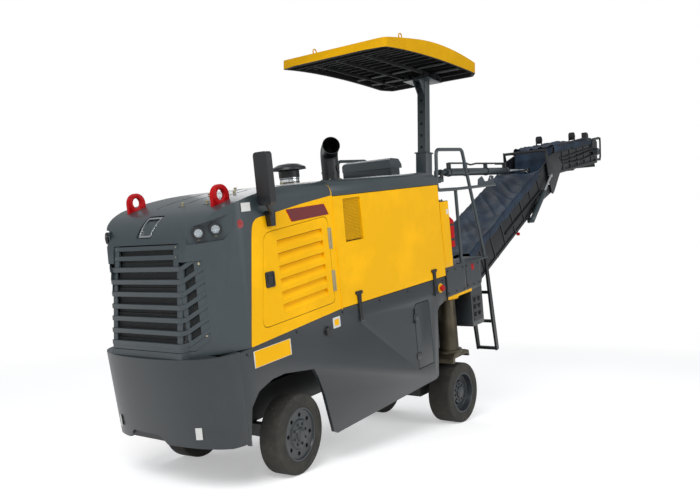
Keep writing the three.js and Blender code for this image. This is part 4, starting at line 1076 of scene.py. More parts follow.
seam = prism(
    curved(
        (-651, 2093), ((-651, 2111), (-651, 2225), (-462, 2225)),
        ((462, 2225), (651, 2225), (651, 2111)), (651, 2093), (647, 2093),
        ((647, 2111), (647, 2221), (460, 2221)), ((-460, 2221), (-647, 2221), (-647, 2111)),
        (-647, 2093)
    ),
    "Y", 636, 644
)
add("roof_seam", seam, yellow_paint, "yellow", edge=1)
pillar = prism(
    rounded([(632, 1164, 3), (637.5, 1164, 3), (637.5, 2094, 3), (632, 2094, 3)]), "X", HALF - 1,
    HALF + 9
)
add("side_pillars", mirrored(pillar), yellow_paint, "yellow", edge=2)

stop_disc = placed(lathe([(0, 0), (46, 0), (46, 4), (0, 4)], 32), at(649, 2229, 1074, "Y", 90))
add("stop_disc", stop_disc, yellow_paint, "yellow", edge=1)
stop_knob = placed(
    lathe([(0, 4), (17, 4), (17, 16), (30, 20), (32, 26), (28, 36), (0, 38)], 32),
    at(649, 2229, 1074, "Y", 90)
)
add("stop_knob", stop_knob, red_paint, "red", edge=1.5)


def framed_plate(name, corners, rim, ground, inset, low=HALF + 0.6, high=HALF + 3):
    """A blank plate in (Y, Z) corners with a border of another colour."""
    whole = prism(rounded([(y, z, 5) for y, z in corners]), "X", low, high)
    middle = sum((Vector(corner) for corner in corners), Vector((0, 0))) / 4
    inner = [
        tuple(middle + (Vector(c) - middle) * (1 - inset / (Vector(c) - middle).length))
        for c in corners
    ]
    field = prism(rounded([(y, z, 3) for y, z in inner]), "X", high - 1, high + 0.8)
    add(f"{name}_rim", whole, rim, "grey")
    add(f"{name}_field", field, ground, "grey")


maroon = paint("maroon_paint", linear("6E1A1C"), 0.35, dust=0.05)
framed_plate(
    "blank_name_plate", [(125, 1931), (581, 1950), (529, 2039), (71, 2028)], red_paint, maroon, 9,
    HALF + 2, HALF + 5
)
framed_plate(
    "blank_side_plate", [(-418, 936), (-22, 946), (-22, 1068), (-418, 1058)], white_label, yellow_paint,
    9
)
framed_plate(
    "blank_notice", [(502, 1030), (597, 1032), (597, 1118), (502, 1116)], white_label, yellow_paint, 26
)

# ---------- dash across the rear of the roof ----------
# A folded steel box that carries the controls under a hinged lid with rounded edges.
refined("dash", edge=3)
lid_outer = prism(
    rounded([
        (2144, 2300), (2344, 2292.8), (2344, 2330, 12), (2322, 2388, 24), (2196, 2400, 24),
        (2144, 2380, 16)
    ]),
    "X", -360, 250
)
lid_front = prism(
    rounded(
        [
            (-360, 2280), (250, 2280), (250, 2330, 10), (228, 2402, 24), (-330, 2402, 30),
            (-360, 2360, 20)
        ]
    ),
    "Y", 2100, 2400
)
lid = carved(
    carved(lid_outer, lid_front, operation="INTERSECT"),
    prism(
        [(2160, 2280), (2330, 2280), (2330, 2325), (2310, 2368), (2205, 2382), (2160, 2364)], "X", -340,
        185
    )
)
add("dash_lid_shell", lid, grey_paint, "grey", "dash_lid", edge=10, segments=4, body="dash_lid")


# ---------- intake, exhaust and mirror ----------
# A moulded mushroom cap on the intake, a bent exhaust tube with a clamp and flange, and a
# mirror in a rounded housing on a stalk.
intake = lathe(
    rounded(
        [
            (0, 2282), (92, 2282, 3), (92, 2342, 4), (156, 2348, 3), (150, 2372, 12), (90, 2400, 40),
            (0, 2411)
        ],
        5
    ),
    48
)
add("intake_cap", intake, black_paint, "black", "air_intake", place=body_frame @ at(0, 895, 0))
neck = lathe(rounded([(0, 2223.5), (86, 2223.5, 2), (86, 2282.5, 2), (0, 2282.5)], 3), 48)
add("intake_neck", neck, chrome, "black", place=body_frame @ at(0, 895, 0))
neck_rings = [
    placed(lathe([(86, 0), (89, 0), (89, 7), (86, 7)], 48), at(0, 895, z)) for z in (2236, 2268)
]
add("intake_bands", merged(*neck_rings), black_paint, "black")


def swept(points, radius, sides=16):
    """A round bar along a line of points."""
    line = [Vector(point) for point in points]
    form = bmesh.new()
    side_way = None
    rings = []
    for i, point in enumerate(line):
        ahead = (line[min(i + 1, len(line) - 1)] - line[max(i - 1, 0)]).normalized()
        if side_way is None:
            side_way = ahead.orthogonal().normalized()
        side_way = (side_way - ahead * side_way.dot(ahead)).normalized()
        other = ahead.cross(side_way)
        turns = [2 * math.pi * k / sides for k in range(sides)]
        rings.append(
            [
                form.verts.new(point + (side_way * math.cos(a) + other * math.sin(a)) * radius)
                for a in turns
            ]
        )
    for first, second in zip(rings, rings[1:]):
        for k in range(sides):
            n = (k + 1) % sides
            form.faces.new((first[k], first[n], second[n], second[k]))
    form.faces.new(list(reversed(rings[0])))
    form.faces.new(rings[-1])
    bmesh.ops.recalc_face_normals(form, faces=form.faces)
    return form


def bent(corners, radius, steps=6):
    """A line through the corners, rounded at each inner one."""
    line = [Vector(corners[0])]
    for before, corner, after in zip(corners, corners[1:], corners[2:]):
        line.extend(arc_corner(before, corner, after, radius, steps))
    return [*line, Vector(corners[-1])]


pipe_line = bent([(50, 1425, 2224), (50, 1425, 2495), (176.3, 1311.3, 2542.6)], 110, 12)
pipe = carved(
    swept(pipe_line, 82, 40), swept([*pipe_line[3:], pipe_line[-1] + Vector((22, -20, 8.4))], 77, 40)
)
pipe_parts = [
    pipe, placed(lathe([(80, 0), (102, 0), (102, 12), (80, 12)], 40), at(50, 1425, 2223.5)),
    placed(lathe([(82, 0), (86, 0), (86, 22), (82, 22)], 40), at(50, 1425, 2290)),
    placed(cylinder(14, 40, 12), at(138, 1425, 2300)), placed(dome(20, 20, 16), at(138, 1425, 2340))
]
add("exhaust_tube", merged(*pipe_parts), black_paint, "black", "exhaust_pipe", edge=0.8)
flange_spots = [
    (50 + 93 * math.cos(a), 1425 + 93 * math.sin(a), 2235.5)
    for a in (i * math.pi / 3 for i in range(6))
]
add_studs("exhaust_bolts", bolt_head(7), flange_spots, (0, 0, 1), zinc, "black")

head = carved(
    prism(rounded([(-66, 2078, 30), (66, 2078, 30), (66, 2458, 30), (-66, 2458, 30)]), "Y", -236, -176),
    prism(rounded([(-57, 2088, 22), (57, 2088, 22), (57, 2448, 22), (-57, 2448, 22)]), "Y", -183, -150)
)
stalk = swept([(735, -200, 2110), (728, -190, 2070), (706, -140, 2030), (690, -124, 1990)], 16, 16)
foot = prism(
    rounded([(-158, 2036, 10), (-92, 2036, 10), (-102, 1922, 10), (-148, 1922, 10)]), "X", 650.5, 703
)
mirror_forms = merged(placed(head, at(735, 0, 0)), stalk, foot)
add("mirror_housing", mirror_forms, black_paint, "black", "left_mirror", edge=11, segments=5)
silvered = plain("silvered_glass", linear("D5DADD"), 0.06, 100.0, 0.0, 0.02, Metallic=1.0)
glass = prism(
    rounded([(-56, 2089, 21), (56, 2089, 21), (56, 2447, 21), (-56, 2447, 21)]), "Y", -186, -184
)
add("mirror_glass", placed(glass, at(735, 0, 0)), silvered, "black")
add("mirror_label", block((HALF, -385, 2050), (HALF + 1.5, -295, 2112)), white_label, "grey")


# ---------- wheels ----------
# Press-fitted solid tyres: smooth, rounded at the shoulders and worn brown-grey. The front rims
# are flat discs with eight holes and a ring of bolts; the rear ones are deep dishes.
def tyre_finish():
    finish = Finish("solid_rubber", linear("35342F"), 0.85)
    spot = finish.place()
    wear = finish.noise(spot, 5.0, 5.0, 0.65)
    chips = finish.noise(spot, 38.0, 4.0, 0.7)
    tone = finish.blend(wear.above(0.42, 0.25), linear("2A2926"), linear("3F3D37"))
    finish.set("Base Color", finish.blend(chips.above(0.6, 0.12), tone, linear("4E4B43")))
    finish.set("Roughness", wear * 0.1 + 0.8)
    finish.bump(chips + wear * 0.6, 0.35, 0.004)
    return finish


solid_rubber = tyre_finish()


def tyre_form(width):
    half = width / 2
    return lathe(
        rounded(
            [
                (206, -half + 3, 4), (268, -half + 1, 20), (308.4, -half + 3, 30),
                (308.4, half - 3, 30), (268, half - 1, 20), (206, half - 3, 4)
            ],
            8
        ),
        96
    )


def disc_rim(half):
    """The front rim's outline: a barrel with a flat disc near its outer edge."""
    return rounded(
        [
            (40, -half + 30), (190, -half + 30), (190, -half), (205, -half, 3), (205, half, 3),
            (191, half, 3), (187, half - 14, 4), (118, half - 18, 4), (108, half - 6, 4),
            (56, half - 4, 3), (52, half + 6, 4), (40, half + 8)
        ],
        4
    )


def dished_rim(half):
    return rounded(
        [
            (40, -half + 30), (190, -half + 30), (190, -half), (205, -half, 3), (205, half, 3),
            (191, half, 3), (184, half - 66, 12), (126, half - 76, 6), (108, half - 50, 6),
            (62, half - 46, 6), (58, half - 30, 4), (40, half - 28)
        ],
        4
    )


def ring_spots(radius, count, level, phase=0.0):
    return [
        (
            radius * math.cos(2 * math.pi * (i + phase) / count),
            radius * math.sin(2 * math.pi * (i + phase) / count), level
        )
        for i in range(count)
    ]


for side, sign in (("left", 1), ("right", -1)):
    outward = Matrix.Rotation(math.radians(90 * sign), 4, "Y")
    front_place = upright @ at(sign * 385, 0, 310, "Z", 7.25) @ at(sign * 145) @ outward
    rear_place = upright @ at(sign * 486, 2612, 310) @ outward
    for end, place, width, outline in (
        ("front", front_place, 180, disc_rim), ("rear", rear_place, 250, dished_rim)
    ):
        body, half = f"{side}_{end}_wheel", (width - 10) / 2
        add(
            f"{side}_{end}_solid_tyre", tyre_form(width), solid_rubber, "tyre", f"{side}_{end}_tyre",
            angle=50, body=body, place=place
        )
        rim = lathe(outline(half), 72)
        if end == "front":
            rim = carved(
                rim,
                *[placed(cylinder(17, 60, 20), at(*spot)) for spot in ring_spots(148, 8, half - 50)]
            )
            bolts, level, ring = ring_spots(80, 8, half - 5, 0.5), half + 8, 80
        else:
            bolts, level, ring = ring_spots(84, 10, half - 48), half - 28, 84
        add(
            f"{side}_{end}_wheel_rim", rim, dark_paint, "dark_grey", f"{side}_{end}_rim", angle=28,
            body=body, place=place
        )
        hub = lathe(
            rounded(
                [(0, level - 12), (40, level - 12), (40, level, 4), (30, level + 3, 2), (0, level + 5)],
                3
            ),
            32
        )
        add(f"{side}_{end}_hub_cap", hub, dark_paint, "dark_grey", body=body, place=place)
        add_studs(
            f"{side}_{end}_wheel_bolts", bolt_head(10, 9), bolts, (0, 0, 1), dark_paint, "dark_grey",
            body=body, place=place
        )
    refined(f"{side}_knuckle")


# ---------- lifting legs ----------
# Thick bronze-coloured steel columns that slide in yellow collars under the platform.
for side in ("left", "right"):
    refined(f"{side}_leg", edge=3)
collars = [
    placed(
        lathe(rounded([(99, 906), (139, 906, 6), (139, 958, 6), (99, 958)], 4), 48),
        at(s * 486, 2582, 0)
    )
    for s in (-1, 1)
]
add("leg_collars", merged(*collars), yellow_paint, "yellow")

# ---------- operator's platform, boxes, ladder and rails ----------
# A welded deck between two side boxes with bolted covers. A yellow cabinet, the extinguisher and
# bent tube rails stand on it, and a ladder of flat bars hangs from its rear landing.
for node in (
    "operator_platform", "rear_tool_box", "rear_cabinet", "ladder", "slew_yoke", "cylinder_swivel"
):
    refined(node, edge=2.5)


cover_plates, cover_bolts = [], []
for y0, y1, low, high in ((2366, 2728, 960, 1238), (2772, 3060, 975, 1238)):
    cover_plates.append(
        prism(
            rounded([(y0, low, 10), (y1, low + 12, 10), (y1, high, 10), (y0, high, 10)]), "X", 650, 654
        )
    )
    cover_bolts += [
        (654, y, z) for y in (y0 + 22, (y0 + y1) / 2, y1 - 22) for z in (low + 34, high - 22)
    ]
add("box_covers", mirrored(merged(*cover_plates)), dark_paint, "dark_grey", edge=1.5)
both_sides = [*cover_bolts, *[(-x, y, z) for x, y, z in cover_bolts]]
ways = [(math.copysign(1, x), 0, 0) for x, y, z in both_sides]
add_studs("box_bolts", bolt_head(7), both_sides, ways, black_paint, "dark_grey")

caps = [
    placed(lathe([(0, 0), (13, 0), (13, 12), (7, 16), (7, 24), (0, 24)], 16), at(x, y, 1915))
    for x, y in ((420, 2400), (520, 2400), (620, 2400), (470, 2480), (600, 2480))
]
add(
    "cabinet_caps", merged(*caps, block((376, 2362, 1914), (648, 2517, 1921))), black_paint, "yellow",
    edge=2
)
cabinet_door = prism(
    rounded([(2372, 1296, 8), (2508, 1296, 8), (2508, 1900, 8), (2372, 1900, 8)]), "X", 650, 653
)
add("cabinet_door", cabinet_door, yellow_paint, "yellow", edge=1.2)
add("cabinet_label", block((653, 2462, 1786), (654.2, 2500, 1836)), white_label, "yellow")

bottle = lathe(
    rounded(
        [
            (0, 1500), (58, 1500, 8), (62, 1770, 26), (30, 1806, 12), (22, 1812, 4), (22, 1826),
            (0, 1826)
        ],
        6
    ),
    40
)
add(
    "extinguisher_bottle", bottle, red_paint, "red", "fire_extinguisher",
    place=body_frame @ at(590, 2582.3, -60)
)
valve = merged(
    placed(lathe([(0, 1822), (15, 1822), (15, 1842), (0, 1842)], 20), at(590, 2582.3, -60)),
    placed(block((-10, -46, 1838), (10, 24, 1850)), at(590, 2582.3, -60))
)
add("extinguisher_valve", valve, black_paint, "red", edge=2)
bands = [
    placed(lathe([(62, z), (65, z), (65, z + 22), (62, z + 22)], 40), at(590, 2582.3))
    for z in (1510, 1660)
]
add("extinguisher_bands", merged(*bands), black_paint, "black", edge=0.8)

RAIL_X, RAIL_TUBE = 620, 18
rail_loop = bent(
    [
        (RAIL_X, 2748, 2024), (RAIL_X, 2372, 2034), (RAIL_X, 2420, 2436), (RAIL_X, 2950, 2428),
        (RAIL_X, 3268, 1300), (RAIL_X, 3268, 1255.5)
    ],
    60, 10
)
rail_parts = [
    swept(rail_loop, RAIL_TUBE, 16),
    swept([(RAIL_X, 2740, 2024), (RAIL_X, 3660, 2020)], RAIL_TUBE - 2, 16),
    swept([(RAIL_X, 2748, 2024), (RAIL_X, 2748, 1255.5)], RAIL_TUBE, 16)
]
notched = carved(
    prism(
        rounded([
            (3250, 2026), (3640, 2026, 4), (3640, 2120, 10), (3560, 2130, 16), (3500, 2070, 14),
            (3420, 2070, 14), (3360, 2130, 16), (3270, 2100, 10)
        ]),
        "X", RAIL_X - 4, RAIL_X + 4
    ),
    placed(cylinder(14, 20, 20), at(RAIL_X - 10, 3570, 2095, "Y", 90))
)
for side in ("left", "right"):
    whole = merged(*[part.copy() for part in (*rail_parts, notched)])
    add(f"{side}_rail", sided(whole, side), grey_paint, "grey", f"{side}_handrail", angle=40)
foot_outline = rounded([(18, 1255.4), (46, 1255.4), (46, 1263, 2), (18, 1263)])
add("rail_feet", mirrored(placed(lathe(foot_outline, 32), at(RAIL_X - 14, 2748))), grey_paint, "grey")

# A socket panel, a yellow edge under the deck and a blank plate on the sides of the boxes.
panel = [prism(
    rounded([(2868, 610, 8), (3062, 610, 8), (3062, 880, 8), (2868, 880, 8)]), "X", HALF - 1, HALF + 4
)]
panel += [
    placed(lathe([(0, 3), (26, 3), (26, 12), (20, 14), (20, 20), (0, 20)], 24), at(HALF, y, z, "Y", 90))
    for y in (2915, 3005) for z in (680, 760, 835)
]
add("socket_panel", merged(*panel), black_paint, "dark_grey", edge=1.2)
platform_edge = prism([(2366, 930), (2366, 958), (2866, 968), (2866, 940)], "X", 560, 651)
add("platform_edges", mirrored(platform_edge), yellow_paint, "yellow", edge=2)
add("blank_red_plate", block((HALF + 4, 2890, 1160), (HALF + 5.5, 2940, 1225)), red_paint, "red")


# ---------- operator's seat ----------
# A vinyl cushion and back on a plain black base. Both pads are blown up a little as cloth.
def vinyl():
    finish = Finish("black_vinyl", linear("26282B"), 0.5, Coat_Weight=0.1)
    spot = finish.place()
    grain = finish.noise(spot, 420.0, 3.0, 0.6)
    creases_and_shading = finish.noise(spot, 14.0, 5.0, 0.6)
    # The creases' noise raises the bump and sets the colour: darker in the hollows and lighter on the rises, as
    # painted shade and painted light.
    finish.set("Base Color", finish.blend(creases_and_shading.above(0.5, 0.2), linear("202225"), linear("303236")))
    finish.set("Roughness", creases_and_shading * 0.2 + 0.42)
    finish.bump(grain + creases_and_shading * 1.5, 0.25, 0.002)
    return finish


black_vinyl = vinyl()


def cushion(name, form, cap=0.012):
    """A crowned pad: the form is remeshed and swelled by cloth pressure, and then smoothed."""
    pad = thing(name, form, body_frame)
    shape = pad.modifiers.new("fine", "REMESH")
    shape.mode, shape.voxel_size = "VOXEL", 0.012
    pad.data = evaluated(pad)
    pad.modifiers.clear()
    start = [vertex.co.copy() for vertex in pad.data.vertices]
    cloth = pad.modifiers.new("cloth", "CLOTH")
    cloth.settings.use_pressure = True
    cloth.settings.uniform_pressure_force = 4
    cloth.settings.effector_weights.gravity = 0
    for number in range(1, 16):
        bpy.context.scene.frame_set(number)
    swelled = evaluated(pad)
    pad.modifiers.clear()
    for vertex, before in zip(swelled.vertices, start):
        move = vertex.co - before
        vertex.co = before + move * min(1, cap / max(move.length, 1e-9))
    pad.data = swelled
    bpy.context.scene.frame_set(1)
    smooth = pad.modifiers.new("smooth", "SUBSURF")
    smooth.levels = smooth.render_levels = 1
    return complete(pad, black_vinyl, "chassis", "seat_leather", angle=60)


seat_base = carved(
    block((-560, 2760, 1255.3), (-260, 3000, 1556)), block((-540, 2740, 1330), (-280, 2990, 1500))
)
add("seat_base", seat_base, black_paint, "black", "operator_seat", edge=5)
cushion(
    "seat_cushion",
    prism(
        rounded([(-588, 2712, 50), (-232, 2712, 50), (-232, 3048, 40), (-588, 3048, 40)]), "Z", 1572,
        1646
    )
)
cushion("seat_back", prism([(3008, 1668), (3052, 1668), (3088, 2068), (3052, 2068)], "X", -588, -232))

# ---------- canopy ----------
# A moulded yellow roof, open below, on a dark frame of ribs and tubes. It stands on a square
# post that slides in a fixed column behind the dash.
roof_side = curved(
    ((1160, 3600), (1900, 3735), (3080, 3740)), (3066, 3838),
    ((3066, 3838), (2700, 3885), (2346, 3875)), ((2346, 3875), (2020, 3866), (1725, 3806)),
    ((1725, 3806), (1450, 3755), (1201, 3695)), steps=20
)
roof_plan = rounded(
    [
        (-660, 1220, 60), (-450, 1160, 80), (390, 1160, 80), (600, 1220, 60), (600, 2960, 60),
        (510, 3080, 60), (-570, 3080, 60), (-660, 2960, 60)
    ],
    6
)


def roof_blank():
    return carved(
        prism(roof_side, "X", -660, 600), prism(roof_plan, "Z", 3500, 4100), operation="INTERSECT"
    )


roof_hollow = roof_blank()
roof_hollow.transform(
    Matrix.Translation((-30, 2120, -24)) @ Matrix.Diagonal((0.955, 0.97, 1, 1))
    @ Matrix.Translation((30, -2120, 0))
)
low_hollow = roof_hollow.copy()
low_hollow.transform(Matrix.Translation((0, 0, -40)))
roof_skin = carved(roof_blank(), roof_hollow, low_hollow)
roof_middle = Vector((-30, 2120, 0))
# The paint stops at the lower edge: all that faces inwards or down is bare black moulding.
for face in roof_skin.faces:
    outward = (face.calc_center_median() - roof_middle).xy.dot(face.normal.xy)
    face.material_index = 1 if face.normal.z < -0.3 or (outward < 0 and face.normal.z < 0.2) else 0
add(
    "roof_skin", roof_skin, [canopy_paint, shade_and_black], "canopy_yellow", "canopy_roof", edge=6,
    segments=3, body="canopy", place=upright
)


def roof_under(y):
    """Height of the skin's underside along the middle of the roof."""
    steps = [point for point in roof_side[21:] if point.y > 0]
    tops = sorted((point.x, point.y) for point in steps)
    for (y0, z0), (y1, z1) in zip(tops, tops[1:]):
        if y0 <= y <= y1:
            return z0 + (z1 - z0) * (y - y0) / max(y1 - y0, 1e-6) - 26
    return tops[-1][1] - 26


def roof_edge(y):
    """Height of the roof's lower edge."""
    share = (y - 1160) / (3080 - 1160)
    return 3600 + 140 * (1 - (1 - share) ** 2)


rib_line = [1250 + 130 * i for i in range(14)]
ribs = []
for y in rib_line:
    top, foot = roof_under(y) - 2, max(roof_under(y) - 74, roof_edge(y) + 6)
    ribs.append(prism([(y - 12, foot), (y + 12, foot), (y + 12, top), (y - 12, top)], "X", -600, 540))
stations = [1235 + 60 * i for i in range(30)]
liner = prism(
    [
        *[(y, roof_under(y) - 1) for y in stations],
        *[(y, roof_under(y) - 7) for y in reversed(stations)]
    ],
    "X", -616, 556
)
long_bars = [
    prism([(1400, 3655), (1400, 3690), (2960, 3772), (2960, 3742)], "X", x - 10, x + 10)
    for x in (-430, -150, 170)
]
add("roof_liner", liner, shade_and_black, "black", body="canopy", place=upright)
add("roof_ribs", merged(*ribs, *long_bars), shade_and_black, "black", edge=3, body="canopy", place=upright)
cross_tubes = [
    swept([(-600, y, z), (540, y, z)], 16, 12) for y, z in ((1520, 3700), (2420, 3745), (2700, 3752))
]
roof_brackets = [
    block((x - 30, y - 40, 3694), (x + 30, y + 40, 3730)) for x in (-40, 160)
    for y in (2600, 2760, 2900)
]
add(
    "roof_tubes", merged(*cross_tubes, *roof_brackets), black_paint, "black", edge=2, body="canopy",
    place=upright
)


def ring_eye(x, y, level):
    ring = bmesh.new()
    turns = [2 * math.pi * i / 24 for i in range(24)]
    line = [(x, y + 26 * math.cos(a), level + 26 * math.sin(a)) for a in turns]
    return merged(swept([*line, line[0]], 6, 10), placed(cylinder(15, 10, 16), at(x, y, level - 40)))


rings = [ring_eye(-300, 1300, 3745), ring_eye(540, 1560, 3802)]
add("roof_rings", merged(*rings), canopy_paint, "canopy_yellow", body="canopy", place=upright)
refined("canopy_post", edge=3)
refined("canopy_column", edge=3)
# Thin near-black discs on the post's front: painted shade in its holes.
post_holes = [(60, 2707, 2950 + 130 * i) for i in range(5)]
add_studs(
    "post_holes", cylinder(16, 1.2, 20), post_holes, (0, -1, 0), shade_and_black, "grey", body="canopy",
    place=upright
)

# ---------- discharge conveyor ----------
# Two black plate troughs carry a rubber belt, joined by a folding hinge. Pressed ribs stiffen the
# sides, return rollers hang below, and a tube guard stands round the outer end.
SLOPES = {"lower": math.radians(30.7), "upper": math.radians(12.2)}


def trough_bottom(section, y):
    """Height of a section's lower edge."""
    if section == "lower":
        return 1534 + math.tan(SLOPES["lower"]) * (y - 3731)
    return 3070 + math.tan(SLOPES["upper"]) * (y - 6400)


def trough_top(section, y):
    return trough_bottom(section, y) + 387 / math.cos(SLOPES[section])


refined("conveyor_lower", edge=2.5)
refined("conveyor_upper", edge=2.5)
for node in ("lift_cylinder", "fold_cylinder", "lift_rod", "fold_rod"):
    refined(node, edge=1.0)


def trough_frame(section, start):
    """A frame with Y along the section, from a point on its lower edge."""
    return upright @ at(
        0, start, trough_bottom(section, start)
    ) @ Matrix.Rotation(SLOPES[section], 4, "X")


for section, body, start, length in (
    ("lower", "lower_conveyor", 3420, 2630), ("upper", "upper_conveyor", 5900, 1830)
):
    place = trough_frame(section, start)
    # A folded lip along both edges, and upright ribs between them.
    lips = [block((290, 0, 6), (303, length, 40)), block((290, 0, 330), (300, length, 362))]
    count = round(length / 310)
    posts = [
        block((290, 60 + i * length / count, 38), (300, 84 + i * length / count, 332))
        for i in range(count)
    ]
    add(
        f"{section}_side_ribs", mirrored(merged(*lips, *posts)), black_paint, "black", edge=2,
        body=body, place=place
    )
    rows = [(290.5, 30 + i * 95, z) for i in range(int(length / 95)) for z in (60, 312)]
    rows += [(-x, y, z) for x, y, z in rows]
    facing = [(math.copysign(1, x), 0, 0) for x, y, z in rows]
    add_studs(
        f"{section}_trough_bolts", bolt_head(6, 4), rows, facing, black_paint, "black", body=body,
        place=place
    )
    rollers = [
        placed(cylinder(38, 540, 24), at(-270, 180 + i * 640, 18, "Y", 90))
        for i in range(int(length / 640))
    ]
    add(
        f"{section}_return_rollers", merged(*rollers), dark_paint, "black", edge=2, body=body,
        place=place
    )
    hangers = [
        block((s * 278 - 6, 150 + i * 640, -16), (s * 278 + 6, 210 + i * 640, 60)) for s in (-1, 1)
        for i in range(int(length / 640))
    ]
    add(
        f"{section}_roller_hangers", merged(*hangers), black_paint, "black", edge=2, body=body,
        place=place
    )
    cleats = []
    for i in range(int(length / 160)):
        cleats.append(prism(
            [
                (-220, 10 + i * 160), (0, 90 + i * 160), (220, 10 + i * 160), (220, 28 + i * 160),
                (0, 108 + i * 160), (-220, 28 + i * 160)
            ],
            "Z", 150, 190
        ))
    add(f"{section}_belt_cleats", merged(*cleats), rubber, "black", edge=3, body=body, place=place)

# Pipes are clamped along the lift cylinder, and a line runs along each section.
base, tip = Vector((60, 3076, 2708)), Vector((60, 5510, 3004))
way = (tip - base).normalized()
raise_up = Vector((0, -way.z, way.y))


def by_cylinder(distance, out, across=0):
    return tuple(base + way * distance + raise_up * out + Vector((across, 0, 0)))


barrel_pipe = bent(
    [
        by_cylinder(190, 44, 14), by_cylinder(190, 104, 14), by_cylinder(620, 104, 14),
        by_cylinder(760, 84, 14), by_cylinder(900, 100, 14), by_cylinder(1720, 100, 14),
        by_cylinder(1720, 44, 14)
    ],
    40, 8
)
second_pipe = bent(
    [by_cylinder(1500, 92, -16), by_cylinder(1760, 92, -16), by_cylinder(1790, 46, -16)], 30, 8
)
clamps = [
    placed(
        lathe([(47, -12), (53, -12), (53, 12), (47, 12)], 32),
        Matrix.Translation(by_cylinder(d, 0)) @ way.to_track_quat("Z", "Y").to_matrix().to_4x4()
    )
    for d in (230, 640, 1180, 1730)
]
blocks = [
    placed(
        block((-24, -14, 44), (24, 14, 112)),
        Matrix.Translation(by_cylinder(d, 0)) @ Matrix.Rotation(math.atan2(way.z, way.y), 4, "X")
    )
    for d in (240, 640, 1180, 1725)
]
add(
    "cylinder_pipes", merged(swept(barrel_pipe, 11, 12), swept(second_pipe, 9, 12)), black_paint,
    "black", body="lift_cylinder", place=upright
)
add(
    "cylinder_clamps", merged(*clamps, *blocks), dark_paint, "grey", edge=1.5, body="lift_cylinder",
    place=upright
)

loom = bent([(300, 4300, 2050), (306, 4700, 2290), (306, 5100, 2520), (306, 5420, 2700)], 60, 8)
lamp_cable = bent([(300, 5950, 3380), (312, 6400, 3495), (312, 7000, 3640), (300, 7400, 3700)], 60, 8)
add(
    "lower_conveyor_lines", merged(swept(loom, 14, 12)), rubber, "black", body="lower_conveyor",
    place=upright
)
add(
    "upper_conveyor_lines", merged(swept(lamp_cable, 12, 12)), rubber, "black", body="upper_conveyor",
    place=upright
)
red_tag = placed(
    lathe([(0, 0), (20, 0), (20, 34), (0, 34)], 20),
    at(296, 4640, trough_bottom("lower", 4640) - 12, "Y", 90)
)
add("red_shut_off", red_tag, red_paint, "red", edge=2, body="lower_conveyor", place=upright)

# The two upright rollers that the folded section rests on, and a work lamp near the outer end.
ROLLER_Y, LAMP_Y = 6700, 7230
roller_level, lamp_level = trough_top("upper", ROLLER_Y), trough_top("upper", LAMP_Y)
rest_roller = placed(
    lathe(rounded([(0, -34), (58, -34, 6), (58, 34, 6), (0, 34)]), 36),
    at(262, ROLLER_Y, roller_level + 108, "Y", 90)
)
roller_legs = [
    block((x, ROLLER_Y - 18, roller_level - 70), (x + 8, ROLLER_Y + 18, roller_level + 126))
    for x in (216, 300)
]
roller_foot = block((216, ROLLER_Y - 30, roller_level - 74), (308, ROLLER_Y + 30, roller_level - 62))
add("rest_rollers", mirrored(rest_roller), rubber, "black", body="upper_conveyor", place=upright)
add(
    "roller_brackets", mirrored(merged(*roller_legs, roller_foot)), black_paint, "black", edge=2,
    body="upper_conveyor", place=upright
)
lamp_side = [
    (LAMP_Y - 44, lamp_level - 10), (LAMP_Y + 50, lamp_level - 10, 8),
    (LAMP_Y + 30, lamp_level + 112, 40), (LAMP_Y - 50, lamp_level + 124, 8)
]
add(
    "work_lamp", prism(rounded(lamp_side), "X", 236, 318), black_paint, "black", edge=4,
    body="upper_conveyor", place=upright
)

# Hoses run along the upper section to the belt's drive motor.
drive_motor = placed(
    lathe(rounded([(0, 300), (74, 300), (74, 316, 4), (56, 322), (56, 372, 8), (0, 372)]), 32),
    upright @ at(0, 7560, trough_bottom("upper", 7560) + 190, "Y", 90)
)
add(
    "belt_motor", drive_motor, dark_paint, "black", edge=2, body="upper_conveyor",
    place=Matrix.Identity(4)
)
hose_runs = []
for index, (start, end) in enumerate(((130, 150), (190, 205), (240, 226))):
    route = []
    for i in range(6):
        y = 6080 + 290 * i
        sag = 26 * math.sin(math.pi * i / 5 + index)
        level = trough_bottom("upper", y) + start + (end - start) * i / 5 - sag
        route.append((308 + 6 * (i % 2), y, level))
    hose_runs.append(swept(bent(route, 120, 8), 12, 12))
add("upper_hoses", merged(*hose_runs), rubber, "black", body="upper_conveyor", place=upright)
flap = prism(
    [
        (7620, trough_bottom("upper", 7620) + 40), (7640, trough_bottom("upper", 7640) + 40),
        (7700, trough_bottom("upper", 7700) - 60), (7690, trough_bottom("upper", 7700) - 62)
    ],
    "X", -270, 270
)
add("end_flap", flap, rubber, "black", edge=2, body="upper_conveyor", place=upright)


# ---------- tarpaulins ----------
# A sheet of coated cloth is thrown over each trough: it dips between the side plates, is pulled
# into slanting folds and hangs ragged over both sides. A strip of it closes the folding section's
# inner mouth as a curtain.
def tarpaulin_finish():
    finish = Finish("coated_cloth", linear("26333F"), 0.6, Specular_IOR_Level=0.3)
    spot = finish.place()
    x, y, z = finish.parts(spot)
    broad = finish.noise(spot, 3.0, 4.0, 0.6)
    fine = finish.noise(spot, 26.0, 5.0, 0.7, 0.8)
    tone = finish.blend(broad.above(0.42, 0.25), linear("1B2838"), linear("2A3D52"))
    # Sparse spots where the fine noise is high are blended a third of the way to a pale blue: painted highlights
    # of the cloth's sheen.
    finish.set("Base Color", finish.blend(fine.above(0.62, 0.15) * 0.3, tone, linear("44607A")))
    finish.set("Roughness", fine * 0.15 + 0.55)
    weave = (x * 1500.0).math("SINE") * (y * 1500.0).math("SINE")
    finish.bump(fine * 0.8 + broad * 2.0 + weave * 0.06, 0.4, 0.008)
    return finish


coated_cloth = tarpaulin_finish()


